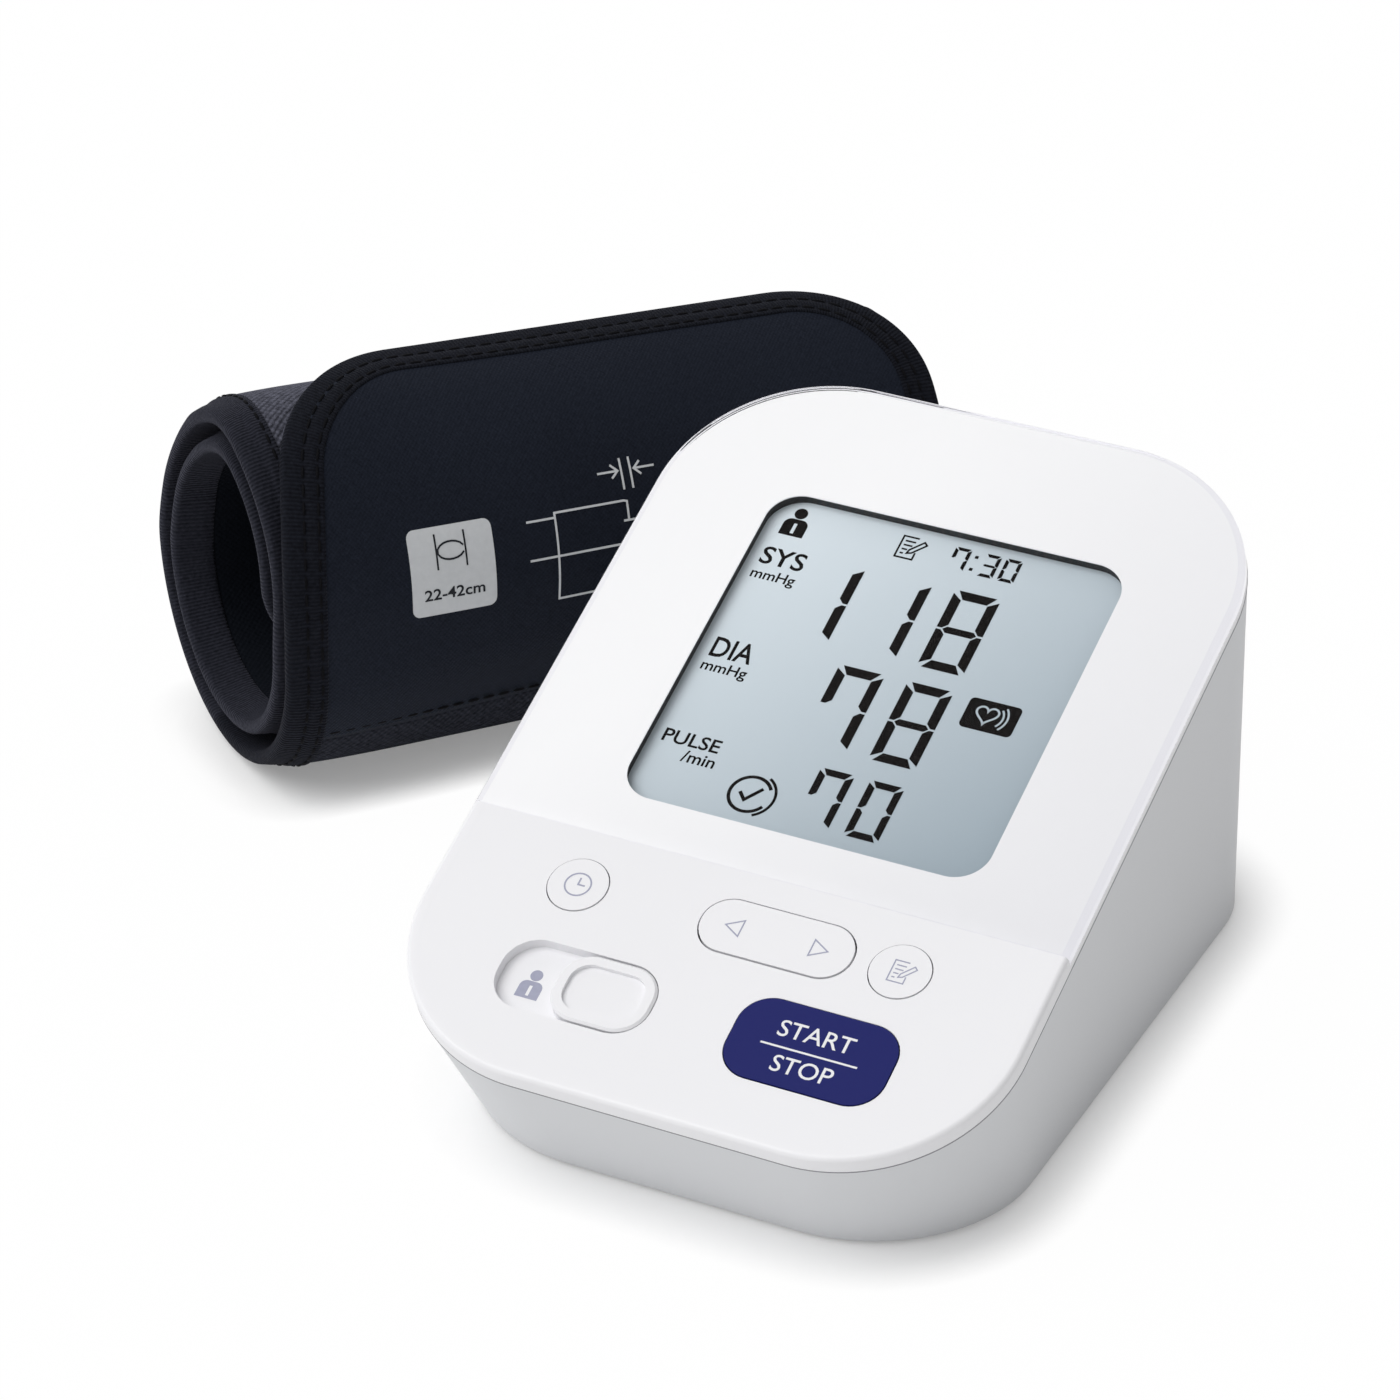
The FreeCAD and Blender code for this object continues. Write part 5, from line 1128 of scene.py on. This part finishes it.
def stitched(name, line, end_way, inset, height, length=2.3, pitch=3.0, width=0.55):
    """Row of stitches: each a low ridge along the line, round across and sunk at both ends."""
    row = evenly(line + inward(line, end_way) * inset, pitch)[1:-1]
    ahead = unit(np.gradient(row, axis=0))
    reach, arch = np.meshgrid(np.linspace(-1, 1, 7), np.linspace(0, np.pi, 5), indexing="ij")
    full = np.sqrt(np.clip(1.02 - reach ** 4, 0, 1)) * width / 2
    lengthwise = (reach * length / 2).reshape(-1, 1)
    crosswise = (full * np.cos(arch)).reshape(-1, 1)
    rise = (full * np.sin(arch)).reshape(-1)
    where = row[:, None] + ahead[:, None] * lengthwise + square_to(ahead)[:, None] * crosswise
    points = on_cloth(where[..., 0], where[..., 1], height + rise, inset)
    faces = np.array(grid_faces(*reach.shape)) + np.arange(len(row))[:, None, None] * reach.size
    return surface(name, points, faces.reshape(-1, 4).tolist(), [thread_finish], no_crease)


stitch_rows = (5.7, 3.2)
stitch_lift = 0.22
upper_runs = np.linspace(tape_join, near_corner + 5.0, 90)
panel_edge = evenly(bound_edge(upper_runs, near_corner, far_corner, 0.0, 1.0), 0.9)
panel_binding = taped("panel_binding", panel_edge, 1.0, folded(panel_full, panel_swell), black_tape)
follows_flap(panel_binding)
for row, inset in enumerate(stitch_rows, 1):
    thread_height = layer_half(inset, panel_full, panel_swell) + stitch_lift
    follows_flap(stitched(f"panel_stitches_{row}", panel_edge, 1.0, inset, thread_height))

lower_runs = np.linspace(tape_join, strip_length - inner_corner - 1.0, 480)
roll_edge = evenly(bound_edge(lower_runs, inner_corner, inner_corner, strip_length, -1.0), 1.1)
roll_binding = taped("roll_binding", roll_edge, -1.0, folded(roll_full, roll_swell), grey_tape)
carried(roll_binding, "cuff")
roll_thread = layer_half(stitch_rows[0], roll_full, roll_swell) + stitch_lift
carried(stitched("roll_stitches", roll_edge, -1.0, stitch_rows[0], roll_thread), "cuff")

seam_inset, seam_margin, seam_lift = 1.5, 6.0, 0.2
seam_places = np.linspace(seam_margin, cuff_width - seam_margin, 60)
seam_line = np.column_stack([np.full(60, panel_end - seam_inset), seam_places])
seam_stitches = stitched("seam_stitches", seam_line, 1.0, 0.0, panel_full + panel_swell + seam_lift)
carried(seam_stitches, "cuff")


# Prints on the cuff
# Pale screen prints on the smooth cloth: a plate with the range of arm sizes, and plain index
# lines that show how far round the arm the free end may come.
ink_pale = ink("cuff_print", (0.60, 0.615, 0.63), (0.70, 0.715, 0.73), 0.2, (0.5, 0.2), 900.0, 900.0, 3.0)
ink_dark = Finish("plate_print", {"Specular IOR Level": 0.2, "Roughness": 0.55})
ink_dark.look(base_color=ink_dark.between(ink_dark.noise(900.0), (0.012, 0.013, 0.018), (0.022, 0.024, 0.03)))


def fine_cells(outline, columns, rows):
    """Plate as a grid: each row reaches as far to both sides of the middle as the outline does."""
    middle = outline.mean(0)
    right = outline[outline[:, 0] > middle[0]] - middle
    right = right[np.argsort(right[:, 1])]
    height = right[-1, 1] * (2 * eased(np.linspace(0.004, 0.996, rows)) - 1)
    half = np.interp(height, right[:, 1], right[:, 0])
    places = np.stack(np.broadcast_arrays(np.outer(half, np.linspace(-1, 1, columns)), height[:, None]), -1)
    return places.reshape(-1, 2) + middle, grid_faces(rows, columns)


def fine_line(points, width):
    """Ribbon along a line, in steps short enough to follow the cloth."""
    return stroke(evenly(np.asarray(points, float), 0.8), width)


cloth_top, print_thick = 2.40, 0.12
plain_lift, mark_lift = 0.10, 0.16


def cuff_print(name, shape, finish, lift):
    """Print that follows the cloth, lifted above it."""
    piece = inked(name, shape, lambda x, y: on_cloth(-y, x, cloth_top + lift), finish, print_thick)
    follows_flap(piece)


plate_outline = rounded((31.1, -41.6), 16.2, 15.2, 1.4, 6)
cuff_print("size_plate", fine_cells(plate_outline, 14, 30), ink_pale, plain_lift)
sign_line, index_line = 0.32, 0.36
plate_marks = joined([
    lettering("22-42cm", 25.3, -46.4, 11.6, 2.0),
    fine_line(circle((0.0, 0.0), 1.0, 20, 340) * (2.6, 1.5) + (31.0, -38.2), sign_line),
    *(fine_line([(side, -35.2), (side, -41.2)], sign_line) for side in (28.2, 33.8)),
])
cuff_print("plate_marks", plate_marks, ink_dark, mark_lift)
index_lines = [
    [(66.0, -38.6), (66.0, -35.2), (51.6, -35.2), (51.6, -50.6), (84.0, -50.6)],
    [(46.0, -36.0), (51.6, -36.0)],
    [(46.0, -42.6), (84.0, -42.6)],
    [(65.0, -38.6), (84.0, -38.6)],
]
half_gauge = [[(0.9, 2.0), (0.9, -3.2)], [(5.6, 0.0), (1.6, 0.0)], [(2.9, 1.1), (1.6, 0.0), (2.9, -1.1)]]
for side in (-1, 1):
    index_lines += [np.array(points) * (side, 1) + (66.8, -30.2) for points in half_gauge]
index_marks = joined([fine_line(points, index_line) for points in index_lines])
cuff_print("index_lines", index_marks, ink_pale, plain_lift)


# Air port of the cuff
# A black moulded flange with a nipple for the hose, welded into the strip. It leads to the air bag
# between the outer cloth and the lining.
port_moulding = moulded("port_moulding", (0.050, 0.050, 0.058), 0.5, 2600.0, 0.00003, 0.4)
dress(port_moulding, "cuff_port")
